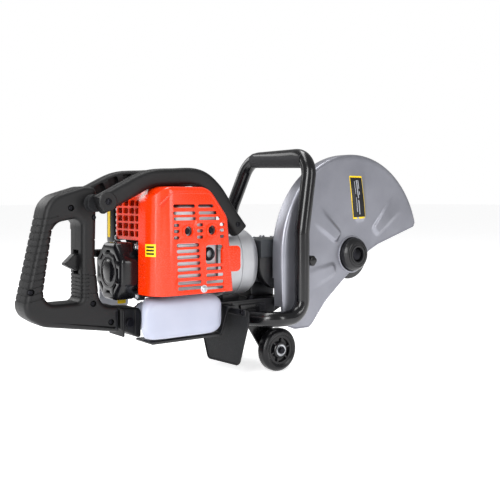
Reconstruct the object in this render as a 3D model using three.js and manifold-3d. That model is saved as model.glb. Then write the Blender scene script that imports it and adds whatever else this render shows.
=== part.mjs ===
// A petrol hand-held rescue saw for a 300 mm disc: two-stroke engine, clutch, bevel gearbox, belt arm, turning
// disc guard, tube front handle, D-shaped rear handle, two transport wheels and a rubber debris flap.
// Units are millimetres. +X points forward to the disc, +Y to the operator's left, +Z up.
// The pieces are placed from the disc spindle (X = 0) and the floor (Z = 0); the last lines move the whole saw
// so that the middle of its box stands at the origin, on the floor.
import * as THREE from "three";
import { mergeVertices } from "three/addons/utils/BufferGeometryUtils.js";
import Module from "manifold-3d";

const wasm = await Module();
wasm.setup();

// ---- driving dimensions -------------------------------------------------------------------------
const GAP = 0.3; // running or fitting gap between neighbouring pieces
const SPINDLE_Z = 190; // height of the disc spindle
const CRANK_Z = 179; // height of the crankshaft, which lies along X
const OUTPUT_X = -140; // the gearbox output shaft, which lies along Y

const GUARD_R = 173; // guard rim
const GUARD_CX = 10.5; // the rim's centre stands a little forward of and above the spindle
const GUARD_CZ = 197;
const GUARD_FACE_Y = -76; // outer face
const GUARD_BACK_Y = -46; // inner face
const SHEET = 2.5; // wall of the guard and of the moulded covers

const FLANGE_R = 45; // disc clamping flanges
const SPINDLE_R = 10;
const PULLEY_FRONT_R = 30; // on the spindle
const PULLEY_REAR_R = 34; // on the gearbox output
const BELT_T = 6;
const BELT_Y = [-39.5, -29.5]; // the pulleys' width
const ARM_WALL = 3;

const WHEEL_R = 36;
const WHEEL_W = 24;
const WHEEL_X = -163;
const WHEEL_Y = { right: -62, left: 80 }; // middle of each wheel
const STRUT_T = 4;

const HANDLE_TUBE_R = 12.5;
const RAIL_Y = 52; // middle of each guard rail, either side
const RAIL_W = 24;
const RAIL_H = 25;
const GRIP_HALF = 24; // half the thickness of the rear handle

const ENGINE_FRONT = -281; // front edge of the engine cover
const ENGINE_REAR = -418;
const COVER_SIDE_Y = -95; // outer face of the cover's silencer side
const COVER_TOP = 306;

// ---- finishes -----------------------------------------------------------------------------------
const finish = (color, roughness, metalness) =>
  new THREE.MeshStandardMaterial({ color, roughness, metalness });
const FINISH = {
  blackNylon: finish(0x26262a, 0.55, 0),
  glossBlack: finish(0x0c0c10, 0.25, 0),
  orangeNylon: finish(0xf4400c, 0.35, 0),
  tankPlastic: finish(0xdfe3ee, 0.4, 0),
  silverPaint: finish(0x8f9097, 0.4, 0.6),
  castAluminium: finish(0xb4b4b8, 0.5, 0.8),
  darkCast: finish(0x3d4244, 0.5, 0.6),
  steel: finish(0x9a9ca0, 0.3, 1),
  blackSteel: finish(0x101014, 0.3, 0.3),
  rubber: finish(0x17181b, 0.8, 0),
  wheelRubber: finish(0x131316, 0.45, 0),
};

// ---- small tools --------------------------------------------------------------------------------
// A closed geometry as a manifold-3d solid, facing out.
function solid(geometry) {
  const bare = geometry.clone();
  bare.deleteAttribute("normal");
  bare.deleteAttribute("uv");
  const merged = mergeVertices(bare, 1e-4);
  const triVerts = new Uint32Array(merged.index.array);
  const make = () =>
    new wasm.Manifold(
      new wasm.Mesh({ numProp: 3, vertProperties: merged.attributes.position.array, triVerts }),
    );
  const made = make();
  if (made.volume() > 0) return made;
  for (let i = 0; i < triVerts.length; i += 3) {
    [triVerts[i + 1], triVerts[i + 2]] = [triVerts[i + 2], triVerts[i + 1]];
  }
  return make();
}

// A manifold-3d solid as a three.js geometry.
function geometryOf(made) {
  const mesh = made.getMesh();
  const flat = new Float32Array(mesh.numVert * 3);
  for (let i = 0; i < mesh.numVert; i += 1) {
    flat.set(mesh.vertProperties.subarray(i * mesh.numProp, i * mesh.numProp + 3), i * 3);
  }
  const geometry = new THREE.BufferGeometry()
    .setAttribute("position", new THREE.BufferAttribute(flat, 3))
    .setIndex(new THREE.BufferAttribute(new Uint32Array(mesh.triVerts), 1));
  geometry.computeVertexNormals();
  return geometry;
}

const join = (...solids) => solids.reduce((a, b) => a.add(b));
const cut = (body, ...tools) => tools.reduce((a, b) => a.subtract(b), body);

// A box between two corners.
function box(x0, x1, y0, y1, z0, z1) {
  const g = new THREE.BoxGeometry(x1 - x0, y1 - y0, z1 - z0);
  return solid(g.translate((x0 + x1) / 2, (y0 + y1) / 2, (z0 + z1) / 2));
}

// A cylinder along X, Y or Z, from a to b on that axis, around the point of the other two.
function rod(axis, radius, a, b, u, v, sides = 24) {
  const g = new THREE.CylinderGeometry(radius, radius, b - a, sides);
  if (axis === "x") g.rotateZ(-Math.PI / 2).translate((a + b) / 2, u, v);
  if (axis === "y") g.translate(u, (a + b) / 2, v);
  if (axis === "z") g.rotateX(Math.PI / 2).translate(u, v, (a + b) / 2);
  return solid(g);
}

// A turned body. The profile is a closed list of [radius, distance along the axis].
function turned(axis, profile, u, v, sides = 24) {
  const points = [...profile, profile[0]].map(([r, s]) => new THREE.Vector2(r, s));
  const g = new THREE.LatheGeometry(points, sides);
  if (axis === "x") g.rotateZ(-Math.PI / 2).translate(0, u, v);
  if (axis === "y") g.translate(u, 0, v);
  return solid(g);
}

// A flat outline in X and Z, thick along Y from y0 to y1.
function plateXZ(shape, y0, y1, curveSegments = 6) {
  const g = new THREE.ExtrudeGeometry(shape, { depth: y1 - y0, bevelEnabled: false, curveSegments });
  return solid(g.rotateX(Math.PI / 2).translate(0, y1, 0));
}

// A flat outline in X and Y, thick along Z from z0 to z1.
function plateXY(shape, z0, z1, curveSegments = 6) {
  const g = new THREE.ExtrudeGeometry(shape, { depth: z1 - z0, bevelEnabled: false, curveSegments });
  return solid(g.translate(0, 0, z0));
}

// A flat outline in Y and Z, thick along X from x0 to x1.
function plateYZ(shape, x0, x1, curveSegments = 6) {
  const g = new THREE.ExtrudeGeometry(shape, { depth: x1 - x0, bevelEnabled: false, curveSegments });
  g.rotateX(Math.PI / 2).rotateZ(Math.PI / 2);
  return solid(g.translate(x0, 0, 0));
}

// A polygon with every corner rounded to the same radius.
function rounded(corners, radius) {
  const shape = new THREE.Shape();
  const points = corners.map(([x, y]) => new THREE.Vector2(x, y));
  points.forEach((corner, i) => {
    const before = points[(i + points.length - 1) % points.length];
    const after = points[(i + 1) % points.length];
    const back = before.clone().sub(corner);
    const ahead = after.clone().sub(corner);
    const reach = Math.min(radius, back.length() * 0.45, ahead.length() * 0.45);
    const enter = corner.clone().addScaledVector(back.normalize(), reach);
    const leave = corner.clone().addScaledVector(ahead.normalize(), reach);
    if (i === 0) shape.moveTo(enter.x, enter.y);
    else shape.lineTo(enter.x, enter.y);
    shape.quadraticCurveTo(corner.x, corner.y, leave.x, leave.y);
  });
  shape.closePath();
  return shape;
}

const rectangle = (x0, x1, y0, y1, radius) =>
  rounded([[x0, y0], [x1, y0], [x1, y1], [x0, y1]], radius);

// The outline around two circles of different size, as a belt runs: [x, z, radius] each, the rear one first.
function aroundTwo(rear, front, grow = 0) {
  const [x0, z0, r0] = rear;
  const [x1, z1, r1] = front;
  const along = Math.atan2(z1 - z0, x1 - x0);
  const lean = Math.acos((r0 - r1) / Math.hypot(x1 - x0, z1 - z0));
  const shape = new THREE.Shape();
  shape.absarc(x1, z1, r1 + grow, along - lean, along + lean, false);
  shape.absarc(x0, z0, r0 + grow, along + lean, along - lean + 2 * Math.PI, false);
  shape.closePath();
  return shape;
}

// A straight-and-bend path: lines between the points, each corner rounded from `radius` away.
function bentPath(points, radius) {
  const path = new THREE.CurvePath();
  const p = points.map((q) => new THREE.Vector3(...q));
  let from = p[0];
  for (let i = 1; i < p.length - 1; i += 1) {
    const back = p[i - 1].clone().sub(p[i]);
    const ahead = p[i + 1].clone().sub(p[i]);
    const reach = Math.min(radius, back.length() * 0.48, ahead.length() * 0.48);
    const enter = p[i].clone().addScaledVector(back.normalize(), reach);
    const leave = p[i].clone().addScaledVector(ahead.normalize(), reach);
    path.add(new THREE.LineCurve3(from, enter));
    path.add(new THREE.QuadraticBezierCurve3(enter, p[i], leave));
    from = leave;
  }
  path.add(new THREE.LineCurve3(from, p[p.length - 1]));
  return path;
}

// A round bar along a path.
function bar(path, radius, steps, sides = 12) {
  const ring = new THREE.Shape();
  ring.absarc(0, 0, radius, 0, 2 * Math.PI, false);
  const options = { steps, extrudePath: path, curveSegments: sides / 2, bevelEnabled: false };
  return solid(new THREE.ExtrudeGeometry(ring, options));
}

// The band that a width makes along a smooth curve through points of X and Z.
function band(points, width, samples) {
  const curve = new THREE.SplineCurve(points.map(([x, z]) => new THREE.Vector2(x, z)));
  const upper = [];
  const lower = [];
  for (let i = 0; i <= samples; i += 1) {
    const at = curve.getPoint(i / samples);
    const along = curve.getTangent(i / samples);
    upper.push([at.x - (along.y * width) / 2, at.y + (along.x * width) / 2]);
    lower.unshift([at.x + (along.y * width) / 2, at.y - (along.x * width) / 2]);
  }
  const outline = [...upper, ...lower];
  return new THREE.Shape(outline.map(([x, z]) => new THREE.Vector2(x, z)));
}

const saw = new THREE.Group();

function add(name, made, material) {
  const mesh = new THREE.Mesh(geometryOf(made), material);
  mesh.name = name;
  saw.add(mesh);
}

// ---- disc guard ---------------------------------------------------------------------------------
// One pressed shell: outer sheet, rim and inner sheet, open along its two lower edges for the disc.
const FRONT_TIP = [176, 247];
function guardOutline(radius) {
  const start = Math.atan2(FRONT_TIP[1] - GUARD_CZ, FRONT_TIP[0] - GUARD_CX);
  const end = Math.PI * 0.985;
  const shape = new THREE.Shape();
  shape.absarc(GUARD_CX, GUARD_CZ, radius, start, end, false);
  const lowerEdge = [
    [-160, 92], [-157, 79], [-135, 70], [-104, 70], [-96, 76],
    [-65, 112], [-16, 151], [45, 196], [69, 207], [168, 237],
  ];
  for (const [x, z] of lowerEdge) shape.lineTo(x, z);
  shape.closePath();
  return shape;
}
{
  const room = new THREE.Shape();
  room.absarc(GUARD_CX, GUARD_CZ, GUARD_R - SHEET, 0, Math.PI * 0.985, false);
  for (const [x, z] of [[-157, 90], [-153, 60], [200, 60]]) room.lineTo(x, z);
  room.closePath();
  add(
    "guard_shell",
    cut(
      plateXZ(guardOutline(GUARD_R), GUARD_FACE_Y, GUARD_BACK_Y, 16),
      plateXZ(room, GUARD_FACE_Y + SHEET, GUARD_BACK_Y - SHEET, 16),
      box(-170, -34, GUARD_BACK_Y - 6, GUARD_BACK_Y + 2, 60, 155), // the inner sheet ends above the chassis
      rod("y", 27, GUARD_BACK_Y - 6, GUARD_BACK_Y + 2, 0, SPINDLE_Z),
      rod("y", 30, GUARD_FACE_Y - 2, GUARD_FACE_Y + 6, 0, SPINDLE_Z),
    ),
    FINISH.silverPaint,
  );
}
const KNOB = { x: -108, z: 184 };
add(
  "guard_lock_knob",
  join(
    rod("y", 6, -84, GUARD_FACE_Y - GAP, KNOB.x, KNOB.z, 12),
    plateXZ(rounded([[-117, 184], [-108, 172], [-98, 184], [-108, 196]], 5), -93, -83, 3),
  ),
  FINISH.glossBlack,
);

// ---- disc spindle -------------------------------------------------------------------------------
add("spindle_shaft", rod("y", SPINDLE_R, -84, 6, 0, SPINDLE_Z), FINISH.steel);
function ringY(outer, inner, y0, y1, x, z, sides = 32) {
  return turned("y", [[inner, y0], [outer, y0], [outer, y1], [inner, y1]], x, z, sides);
}
add("inner_flange", ringY(FLANGE_R, SPINDLE_R + GAP, -56, -50, 0, SPINDLE_Z), FINISH.steel);
{
  const bore = SPINDLE_R + GAP;
  const flange = [[bore, -56 - GAP], [FLANGE_R, -56 - GAP], [FLANGE_R, -71], [29, -73]];
  const dome = [[29, -87], [23, -93], [14, -93], [14, -84], [bore, -84]];
  add("outer_flange", turned("y", [...flange, ...dome], 0, SPINDLE_Z, 32), FINISH.blackSteel);
}
add("spindle_bolt", rod("y", 11, -91, -84 - GAP, 0, SPINDLE_Z, 6), FINISH.steel);
add("spindle_bearing", ringY(20, SPINDLE_R + GAP, -24, -10, 0, SPINDLE_Z), FINISH.steel);

// ---- belt arm -----------------------------------------------------------------------------------
const FRONT_PULLEY = [0, SPINDLE_Z, PULLEY_FRONT_R];
const REAR_PULLEY = [OUTPUT_X, CRANK_Z, PULLEY_REAR_R];
const ARM_GROW = BELT_T + 2;
add(
  "belt_arm",
  cut(
    join(
      plateXZ(aroundTwo(REAR_PULLEY, FRONT_PULLEY, ARM_GROW + ARM_WALL), -41, -25, 8),
      rod("y", 25, -26, -6, 0, SPINDLE_Z),
    ),
    plateXZ(aroundTwo(REAR_PULLEY, FRONT_PULLEY, ARM_GROW), -42, -28.5, 8),
    rod("y", 20 + GAP, -24 - GAP, 0, 0, SPINDLE_Z, 32),
    rod("y", SPINDLE_R + 1.5, -30, 0, 0, SPINDLE_Z),
    rod("y", 13, -30, 0, OUTPUT_X, CRANK_Z),
  ),
  FINISH.blackSteel,
);
add(
  "belt_cover",
  cut(
    plateXZ(aroundTwo(REAR_PULLEY, FRONT_PULLEY, ARM_GROW + ARM_WALL), -43.5, -41 - GAP, 8),
    rod("y", SPINDLE_R + 2, -45, -40, 0, SPINDLE_Z),
  ),
  FINISH.blackSteel,
);
add(
  "drive_belt",
  cut(
    plateXZ(aroundTwo(REAR_PULLEY, FRONT_PULLEY, BELT_T), BELT_Y[0] + 1, BELT_Y[1] - 1, 8),
    plateXZ(aroundTwo(REAR_PULLEY, FRONT_PULLEY, 0.4), BELT_Y[0], BELT_Y[1], 8),
  ),
  FINISH.rubber,
);
add(
  "driven_pulley",
  ringY(PULLEY_FRONT_R, SPINDLE_R + GAP, BELT_Y[0], BELT_Y[1], 0, SPINDLE_Z),
  FINISH.castAluminium,
);
add(
  "drive_pulley",
  ringY(PULLEY_REAR_R, 9 + GAP, BELT_Y[0], BELT_Y[1], OUTPUT_X, CRANK_Z),
  FINISH.castAluminium,
);

// ---- bevel gearbox ------------------------------------------------------------------------------
add(
  "gearbox_housing",
  cut(
    join(
      plateXZ(rectangle(-186, -104, 146, 216, 14), -24, 34),
      box(-182, -120, -20, 30, 204, 222), // the flat top boss
    ),
    box(-180, -110, -19, 28, 153, 208),
    rod("x", 12, -190, -170, 0, CRANK_Z),
    rod("y", 12, -30, 0, OUTPUT_X, CRANK_Z),
  ),
  FINISH.darkCast,
);
add(
  "bevel_pinion",
  turned("x", [[0, -176], [8, -176], [8, -160], [18.5, -160], [11.5, -153], [0, -153]], 0, CRANK_Z),
  FINISH.steel,
);
add(
  "bevel_gear",
  join(
    turned("y", [[0, 13], [11.5, 13], [18.5, 20], [0, 20]], OUTPUT_X, CRANK_Z),
    rod("y", 9, -40, 20, OUTPUT_X, CRANK_Z),
  ),
  FINISH.steel,
);

// ---- clutch -------------------------------------------------------------------------------------
const HOUSING_R = 53;
const HOUSING_Z = CRANK_Z + 5;
{
  const bell = [
    [44, -256], [HOUSING_R - 1, -256], [HOUSING_R, -250], [HOUSING_R, -208], [44, -196],
    [26, -187], [0, -187], [0, -191], [24, -192], [42, -203], [49, -212], [49, -250], [44, -252],
  ];
  const lugs = [box(-252, -230, -40 + GAP, -33, 219, 244), box(-252, -230, 33, 40 - GAP, 219, 244)];
  const shaftHole = rod("x", 11, -200, -180, 0, CRANK_Z);
  const casting = join(turned("x", bell, 0, HOUSING_Z, 28), ...lugs);
  add("clutch_housing", cut(casting, shaftHole), FINISH.castAluminium);
}
add(
  "clutch_drum",
  join(
    cut(rod("x", 39, -244, -212, 0, CRANK_Z), rod("x", 36, -250, -216, 0, CRANK_Z)),
    rod("x", 8, -214, -176 - GAP, 0, CRANK_Z),
  ),
  FINISH.steel,
);
{
  const slots = [0, 1].map((k) => box(-242, -220, k ? 9 : -33, k ? 33 : -9, CRANK_Z - 1.5, CRANK_Z + 1.5));
  add("centrifugal_clutch", cut(rod("x", 33, -240, -222, 0, CRANK_Z), ...slots), FINISH.steel);
}

// ---- engine block -------------------------------------------------------------------------------
add(
  "crankshaft",
  join(
    rod("x", 8, -436, -340, 0, CRANK_Z, 16),
    rod("x", 8, -322, -240 - GAP, 0, CRANK_Z, 16),
    rod("x", 27, -350, -340, 0, CRANK_Z),
    rod("x", 27, -322, -312, 0, CRANK_Z),
    rod("x", 6, -341, -321, 0, CRANK_Z + 17, 12),
  ),
  FINISH.steel,
);
add(
  "crankcase",
  cut(
    join(
      rod("x", 40, -372, -292, 0, CRANK_Z),
      rod("x", 50, -296, -257, 0, CRANK_Z, 24),
      box(-362, -300, -34, 34, CRANK_Z + 10, 223),
      box(-372, -262, -38, 38, 139.5, 150),
    ),
    rod("x", 31, -356, -306, 0, CRANK_Z),
    rod("x", 22.5, -300, -250, 0, CRANK_Z),
    rod("x", 9, -380, -290, 0, CRANK_Z),
    rod("z", 23, CRANK_Z, 230, -331, 0),
  ),
  FINISH.castAluminium,
);
{
  const BORE_R = 22.6;
  const fins = [];
  for (let z = 228; z < 279; z += 10) fins.push(box(-370, -303 + GAP, -38, 24, z, z + 3));
  add(
    "cylinder",
    cut(
      join(box(-361, -304, -30, 22, 223 + GAP, 281), ...fins),
      rod("z", BORE_R, 220, 274, -331, 0),
    ),
    FINISH.castAluminium,
  );
}
add("piston", rod("z", 22, 226, 258, -331, 0), FINISH.steel);
add(
  "spark_plug",
  join(rod("x", 7, -303 + 2 * GAP, -296, -8, 264, 12), rod("x", 4, -297, -292, -8, 264, 12)),
  FINISH.steel,
);
{
  const blades = [];
  for (let k = 0; k < 8; k += 1) {
    const blade = new THREE.BoxGeometry(9, 2.5, 16).translate(-383, 0, 29).rotateX((k * Math.PI) / 4);
    blades.push(solid(blade.translate(0, 0, CRANK_Z)));
  }
  add(
    "flywheel",
    cut(join(rod("x", 38, -396, -386, 0, CRANK_Z), ...blades), rod("x", 8 + GAP, -400, -370, 0, CRANK_Z, 16)),
    FINISH.castAluminium,
  );
}
add(
  "silencer",
  cut(
    plateXY(rectangle(-384, -304, -89, -44, 10), 160, 281, 3),
    rod("y", 8, -95, -80, -318, 197, 16),
  ),
  FINISH.silverPaint,
);

// ---- engine cover, one moulding over cylinder and silencer --------------------------------------
const COVER_INNER_Y = -44.5; // where the silencer side ends at the fan housing
const HOOD_REAR = -410; // the hood over the cylinder stands back from the silencer side
const HOOD_LEFT_Y = 46;
const HOOD_BOTTOM = 226;
{
  const plan = (inset, innerY) =>
    rounded(
      [
        [ENGINE_FRONT - inset, innerY],
        [ENGINE_FRONT - inset, COVER_SIDE_Y + inset],
        [ENGINE_REAR + inset, COVER_SIDE_Y + inset],
        [ENGINE_REAR + inset, innerY],
      ],
      20 - inset,
    );
  // Seen from the side, the front top corner is cut off on a slant.
  const side = (rear, bottom, inset) =>
    rounded(
      [
        [rear + inset, bottom],
        [rear + inset, 286],
        [rear + 26 + inset, COVER_TOP - inset],
        [-312 - inset, COVER_TOP - inset],
        [ENGINE_FRONT - inset, 260],
        [ENGINE_FRONT - inset, bottom],
      ],
      12 - inset,
    );
  const silencerSide = wasm.Manifold.intersection(
    plateXY(plan(0, -30), 146, COVER_TOP, 4),
    plateXZ(side(ENGINE_REAR, 146, 0), COVER_SIDE_Y, COVER_INNER_Y, 4),
  );
  const silencerRoom = wasm.Manifold.intersection(
    plateXY(plan(SHEET, -30), 120, COVER_TOP, 4),
    plateXZ(side(ENGINE_REAR, 120, SHEET), COVER_SIDE_Y, COVER_INNER_Y + 1, 4),
  );
  const hood = plateXZ(side(HOOD_REAR, HOOD_BOTTOM, 0), COVER_INNER_Y - 2, HOOD_LEFT_Y, 4);
  const hoodRoom = plateXZ(side(HOOD_REAR, 200, SHEET), COVER_INNER_Y - 3, HOOD_LEFT_Y - SHEET, 4);
  const stepY = [COVER_INNER_Y - SHEET, COVER_INNER_Y];
  const step = box(ENGINE_REAR + 1, HOOD_REAR + SHEET, ...stepY, HOOD_BOTTOM, 290);
  const grille = [box(-332, -302, COVER_SIDE_Y - 2, COVER_SIDE_Y + 4, 188, 216)];
  for (let row = 0; row < 9; row += 1) {
    const z = 156 + row * 15;
    grille.push(box(-376, -344, COVER_SIDE_Y - 2, COVER_SIDE_Y + 4, z, z + 7));
    if (row < 2 || row > 3) grille.push(box(-332, -302, COVER_SIDE_Y - 2, COVER_SIDE_Y + 4, z, z + 7));
  }
  for (let row = 0; row < 5; row += 1) {
    const z = 234 + row * 12;
    grille.push(box(HOOD_REAR - 2, HOOD_REAR + 5, -36, -4, z, z + 7));
    grille.push(box(HOOD_REAR - 2, HOOD_REAR + 5, 4, 36, z, z + 7));
  }
  add(
    "engine_cover",
    cut(
      join(
        cut(join(silencerSide, hood), silencerRoom, hoodRoom),
        step,
        box(-290, -262, COVER_SIDE_Y, COVER_SIDE_Y + 7, 180, 214), // tab towards the clutch housing
      ),
      box(-300, -270, COVER_SIDE_Y + 7.5, 40, 120, 262), // open towards the clutch side
      box(-358, -304, 40, 50, 220, 272), // the intake passes through the left wall
      ...grille,
    ),
    FINISH.orangeNylon,
  );
}

// ---- fan housing and pull starter ---------------------------------------------------------------
const ROPE_Z = CRANK_Z + 24; // the rope leaves the top of the reel
add(
  "fan_housing",
  turned(
    "x",
    [[30, -408], [42, -408], [43.5, -406], [43.5, -375], [41, -372.5], [41, -404], [30, -405]],
    0,
    CRANK_Z,
    28,
  ),
  FINISH.blackNylon,
);
add(
  "starter_cover",
  cut(
    rod("x", 43, -445, -408 - GAP, 0, CRANK_Z, 8),
    rod("x", 36, -442, -405, 0, CRANK_Z, 24),
    rod("y", 4, 30, 48, -430, ROPE_Z, 12),
  ),
  FINISH.glossBlack,
);
add(
  "starter_reel",
  cut(rod("x", 30, -439, -420, 0, CRANK_Z), rod("x", 8 + GAP, -450, -410, 0, CRANK_Z, 16)),
  FINISH.blackNylon,
);
add("starter_rope", rod("y", 2, 33, 46, -430, ROPE_Z, 8), FINISH.rubber);
add(
  "starter_grip",
  plateXZ(rectangle(-446, -414, ROPE_Z - 6, ROPE_Z + 6, 5), 46 + GAP, 64, 3),
  FINISH.blackNylon,
);

// ---- carburettor side ---------------------------------------------------------------------------
const PRIMER = { x: -331, y: 54 };
add(
  "carburettor",
  cut(
    join(
      box(-350, -312, 24.5, 34, 234, 260),
      box(-352, -310, 33, 66, 228, 266),
      rod("y", 14, 60, 72, -331, 247),
    ),
    rod("z", 8.5, 225, 233, PRIMER.x, PRIMER.y, 16), // the bulb's pocket
  ),
  FINISH.castAluminium,
);
add("primer_bulb", rod("z", 8, 214, 228.5, PRIMER.x, PRIMER.y, 16), FINISH.rubber);
add(
  "choke_lever",
  join(rod("y", 5, 73, 78, -306, 262, 12), box(-308, -304, 74, 77, 262, 284)),
  FINISH.glossBlack,
);
add(
  "air_filter_base",
  plateXZ(rectangle(-378, -302, 214, 290, 10), 66 + GAP, 72, 3).subtract(rod("y", 15, 60, 80, -331, 247)),
  FINISH.blackNylon,
);
add(
  "air_filter_foam",
  ringY(24, 16, 72 + GAP, 88, -340, 250, 20),
  FINISH.rubber,
);
add(
  "air_filter_cover",
  cut(
    plateXZ(rectangle(-390, -312, 204, 294, 16), 72 + GAP, 98, 3),
    plateXZ(rectangle(-386, -316, 208, 290, 12), 70, 94, 3),
  ),
  FINISH.glossBlack,
);

// ---- fuel tank ----------------------------------------------------------------------------------
// The tank fills the space below the engine; its left half stops short of the rear mount block.
const TANK_REAR = -427;
const TANK_FRONT = -279;
const TANK_Y = [-78, 20];
const TANK_BLOCK_Y = -31;
const CAP = { x: -368, z: 104 };
{
  const tankBody = (wall) =>
    join(
      wasm.Manifold.intersection(
        plateXZ(
          rectangle(TANK_REAR + wall, TANK_FRONT - wall, 79 + wall, 139 - wall, 22 - wall),
          TANK_Y[0],
          TANK_BLOCK_Y,
          4,
        ),
        plateXY(
          rectangle(TANK_REAR + wall, TANK_FRONT - wall, TANK_Y[0] + wall, TANK_BLOCK_Y - wall, 20 - wall),
          79,
          139,
          3,
        ),
      ),
      plateXZ(
        rectangle(-396 + wall, -300 - wall, 79 + wall, 128.7 - wall, 22 - wall),
        -40,
        TANK_Y[1] - wall,
        4,
      ),
    );
  add(
    "fuel_tank",
    cut(tankBody(0), tankBody(3), rod("y", 15, 10, 24, CAP.x, CAP.z)),
    FINISH.tankPlastic,
  );
}
add(
  "fuel_cap",
  join(rod("y", 14.5, 14, 21, CAP.x, CAP.z), rod("y", 20, 20 + GAP, 32, CAP.x, CAP.z)),
  FINISH.blackNylon,
);

// ---- chassis ------------------------------------------------------------------------------------
const CHASSIS_RIGHT = -40;
const CHASSIS_LEFT = 54;
const TOP_PLATE_Z = 116.6;
const cheek = () => rounded([[-240, 118], [-240, 76], [-196, 76], [-128, 106], [-128, 118]], 6);
add(
  "chassis",
  join(
    box(-278.5, -128, CHASSIS_RIGHT, CHASSIS_LEFT, TOP_PLATE_Z, TOP_PLATE_Z + 4),
    plateXZ(cheek(), CHASSIS_RIGHT, CHASSIS_RIGHT + 4, 3),
    plateXZ(cheek(), CHASSIS_LEFT - 4, CHASSIS_LEFT, 3),
    box(-242, -206, -14, 14, TOP_PLATE_Z, 130.7), // pad under the clutch housing
    box(-182, -130, -14, 26, TOP_PLATE_Z, 145.7), // pedestal under the gearbox
  ),
  FINISH.blackSteel,
);
add(
  "tank_skid",
  plateXZ(
    rounded(
      [
        [-402, 70], [-274, 70], [-259, 112.3], [-245, 112.3],
        [-245, 116.3], [-262, 116.3], [-276.5, 74], [-402, 74],
      ],
      2,
    ),
    -58,
    -8,
    2,
  ),
  FINISH.blackSteel,
);
add(
  "debris_flap",
  plateYZ(rounded([[-97, 112], [-97, 92], [-72, 22], [14, 20], [30, 60], [40, 112]], 8), -251, -248, 3),
  FINISH.rubber,
);

// ---- wheels -------------------------------------------------------------------------------------
const strutOutline = new THREE.Shape();
strutOutline.moveTo(-226, 112);
strutOutline.lineTo(-226, 96);
strutOutline.absarc(WHEEL_X, WHEEL_R, 14, Math.PI * 0.95, Math.PI * 2.15, false);
strutOutline.lineTo(-176, 112);
strutOutline.closePath();
for (const [side, sign] of [["right", -1], ["left", 1]]) {
  const middle = WHEEL_Y[side];
  const inner = middle - (sign * WHEEL_W) / 2; // face of the wheel towards the chassis
  const plateFace = sign < 0 ? CHASSIS_RIGHT : CHASSIS_LEFT;
  const span = (a, b) => [Math.min(a, b), Math.max(a, b)];
  const [s0, s1] = span(plateFace + sign * GAP, plateFace + sign * (GAP + STRUT_T));
  add(
    `wheel_strut_${side}`,
    cut(plateXZ(strutOutline, s0, s1, 6), rod("y", 5, s0 - 1, s1 + 1, WHEEL_X, WHEEL_R, 16)),
    FINISH.blackSteel,
  );
  const w0 = middle - WHEEL_W / 2;
  const w1 = middle + WHEEL_W / 2;
  const R = WHEEL_R;
  const tread = [
    [24, w0 + 2], [R - 7, w0], [R - 2, w0 + 5], [R, middle],
    [R - 2, w1 - 5], [R - 7, w1], [24, w1 - 2],
  ];
  add(`wheel_tyre_${side}`, turned("y", tread, WHEEL_X, WHEEL_R, 32), FINISH.wheelRubber);
  const core = [
    [4 + GAP, w0 + 1], [12, w0 + 1], [24 - GAP, w0 + 6],
    [24 - GAP, w1 - 6], [12, w1 - 1], [4 + GAP, w1 - 1],
  ];
  add(`wheel_core_${side}`, turned("y", core, WHEEL_X, WHEEL_R, 32), FINISH.glossBlack);
  const [head0, head1] = span(middle + sign * (WHEEL_W / 2 - 1 + GAP), middle + sign * (WHEEL_W / 2 + 4));
  const [pin0, pin1] = span(middle + sign * (WHEEL_W / 2), plateFace + sign * (STRUT_T + 1));
  const [collar0, collar1] = span(inner + sign * (1 - GAP), plateFace + sign * (STRUT_T + 2 * GAP));
  const [tail0, tail1] = span(plateFace + sign * (STRUT_T + 2), plateFace - sign * 6);
  add(
    `wheel_axle_${side}`,
    join(
      rod("y", 4, pin0, pin1, WHEEL_X, WHEEL_R, 16),
      rod("y", 7, head0, head1, WHEEL_X, WHEEL_R, 6),
      rod("y", 8, collar0, collar1, WHEEL_X, WHEEL_R, 16),
      rod("y", 4, tail0, tail1, WHEEL_X, WHEEL_R, 16),
    ),
    FINISH.steel,
  );
}

// ---- front handle -------------------------------------------------------------------------------
const HANDLE_PATH = [
  [-215.7, -51, 92],
  [-192, -92, 92],
  [-133, -92, 92],
  [-133, -92, 234],
  [-112, -91, 364],
  [-112, 80, 363],
  [-128, 116, 270],
  [-133, 118, 234],
  [-133, 118, 92],
  [-192, 118, 92],
  [-215.8, 64, 92],
];
add("front_handle", bar(bentPath(HANDLE_PATH, 36), HANDLE_TUBE_R, 60, 10), FINISH.blackSteel);

// ---- guard rails over the engine, and the rear handle -------------------------------------------
const RAIL_LINE = [
  [-486, 281], [-446, 302], [-409, 318], [-366, 324],
  [-325, 324], [-291, 305], [-262, 268], [-238, 239],
];
for (const [side, sign] of [["right", -1], ["left", 1]]) {
  const [y0, y1] = [sign * RAIL_Y - RAIL_W / 2, sign * RAIL_Y + RAIL_W / 2];
  add(`rail_${side}`, plateXZ(band(RAIL_LINE, RAIL_H, 20), y0, y1), FINISH.blackNylon);
  const face = sign * (GRIP_HALF + GAP);
  const edge = sign * (RAIL_Y - RAIL_W / 2 - GAP);
  const damper = rod("y", 13, Math.min(face, edge), Math.max(face, edge), -484, 283, 20);
  add(`rail_damper_${side}`, damper, FINISH.rubber);
}
const GRIP_OUTLINE = [
  [-437, 88], [-437, 127], [-468, 130], [-476, 200], [-474, 306],
  [-494, 308], [-550, 291], [-587, 126], [-556, 107],
];
const GRIP_WINDOW = [[-498, 138], [-498, 262], [-542, 255], [-558, 138]];
function gripHalf(y0, y1) {
  return cut(
    plateXZ(rounded(GRIP_OUTLINE, 22), y0, y1, 4),
    plateXZ(rounded(GRIP_WINDOW, 12), y0 - 1, y1 + 1, 3),
    box(-505, -481, -9, 9, 178, 214), // pocket of the throttle trigger
  );
}
add("grip_shell_right", gripHalf(-GRIP_HALF, -GAP / 2), FINISH.blackNylon);
add("grip_shell_left", gripHalf(GAP / 2, GRIP_HALF), FINISH.blackNylon);
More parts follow.
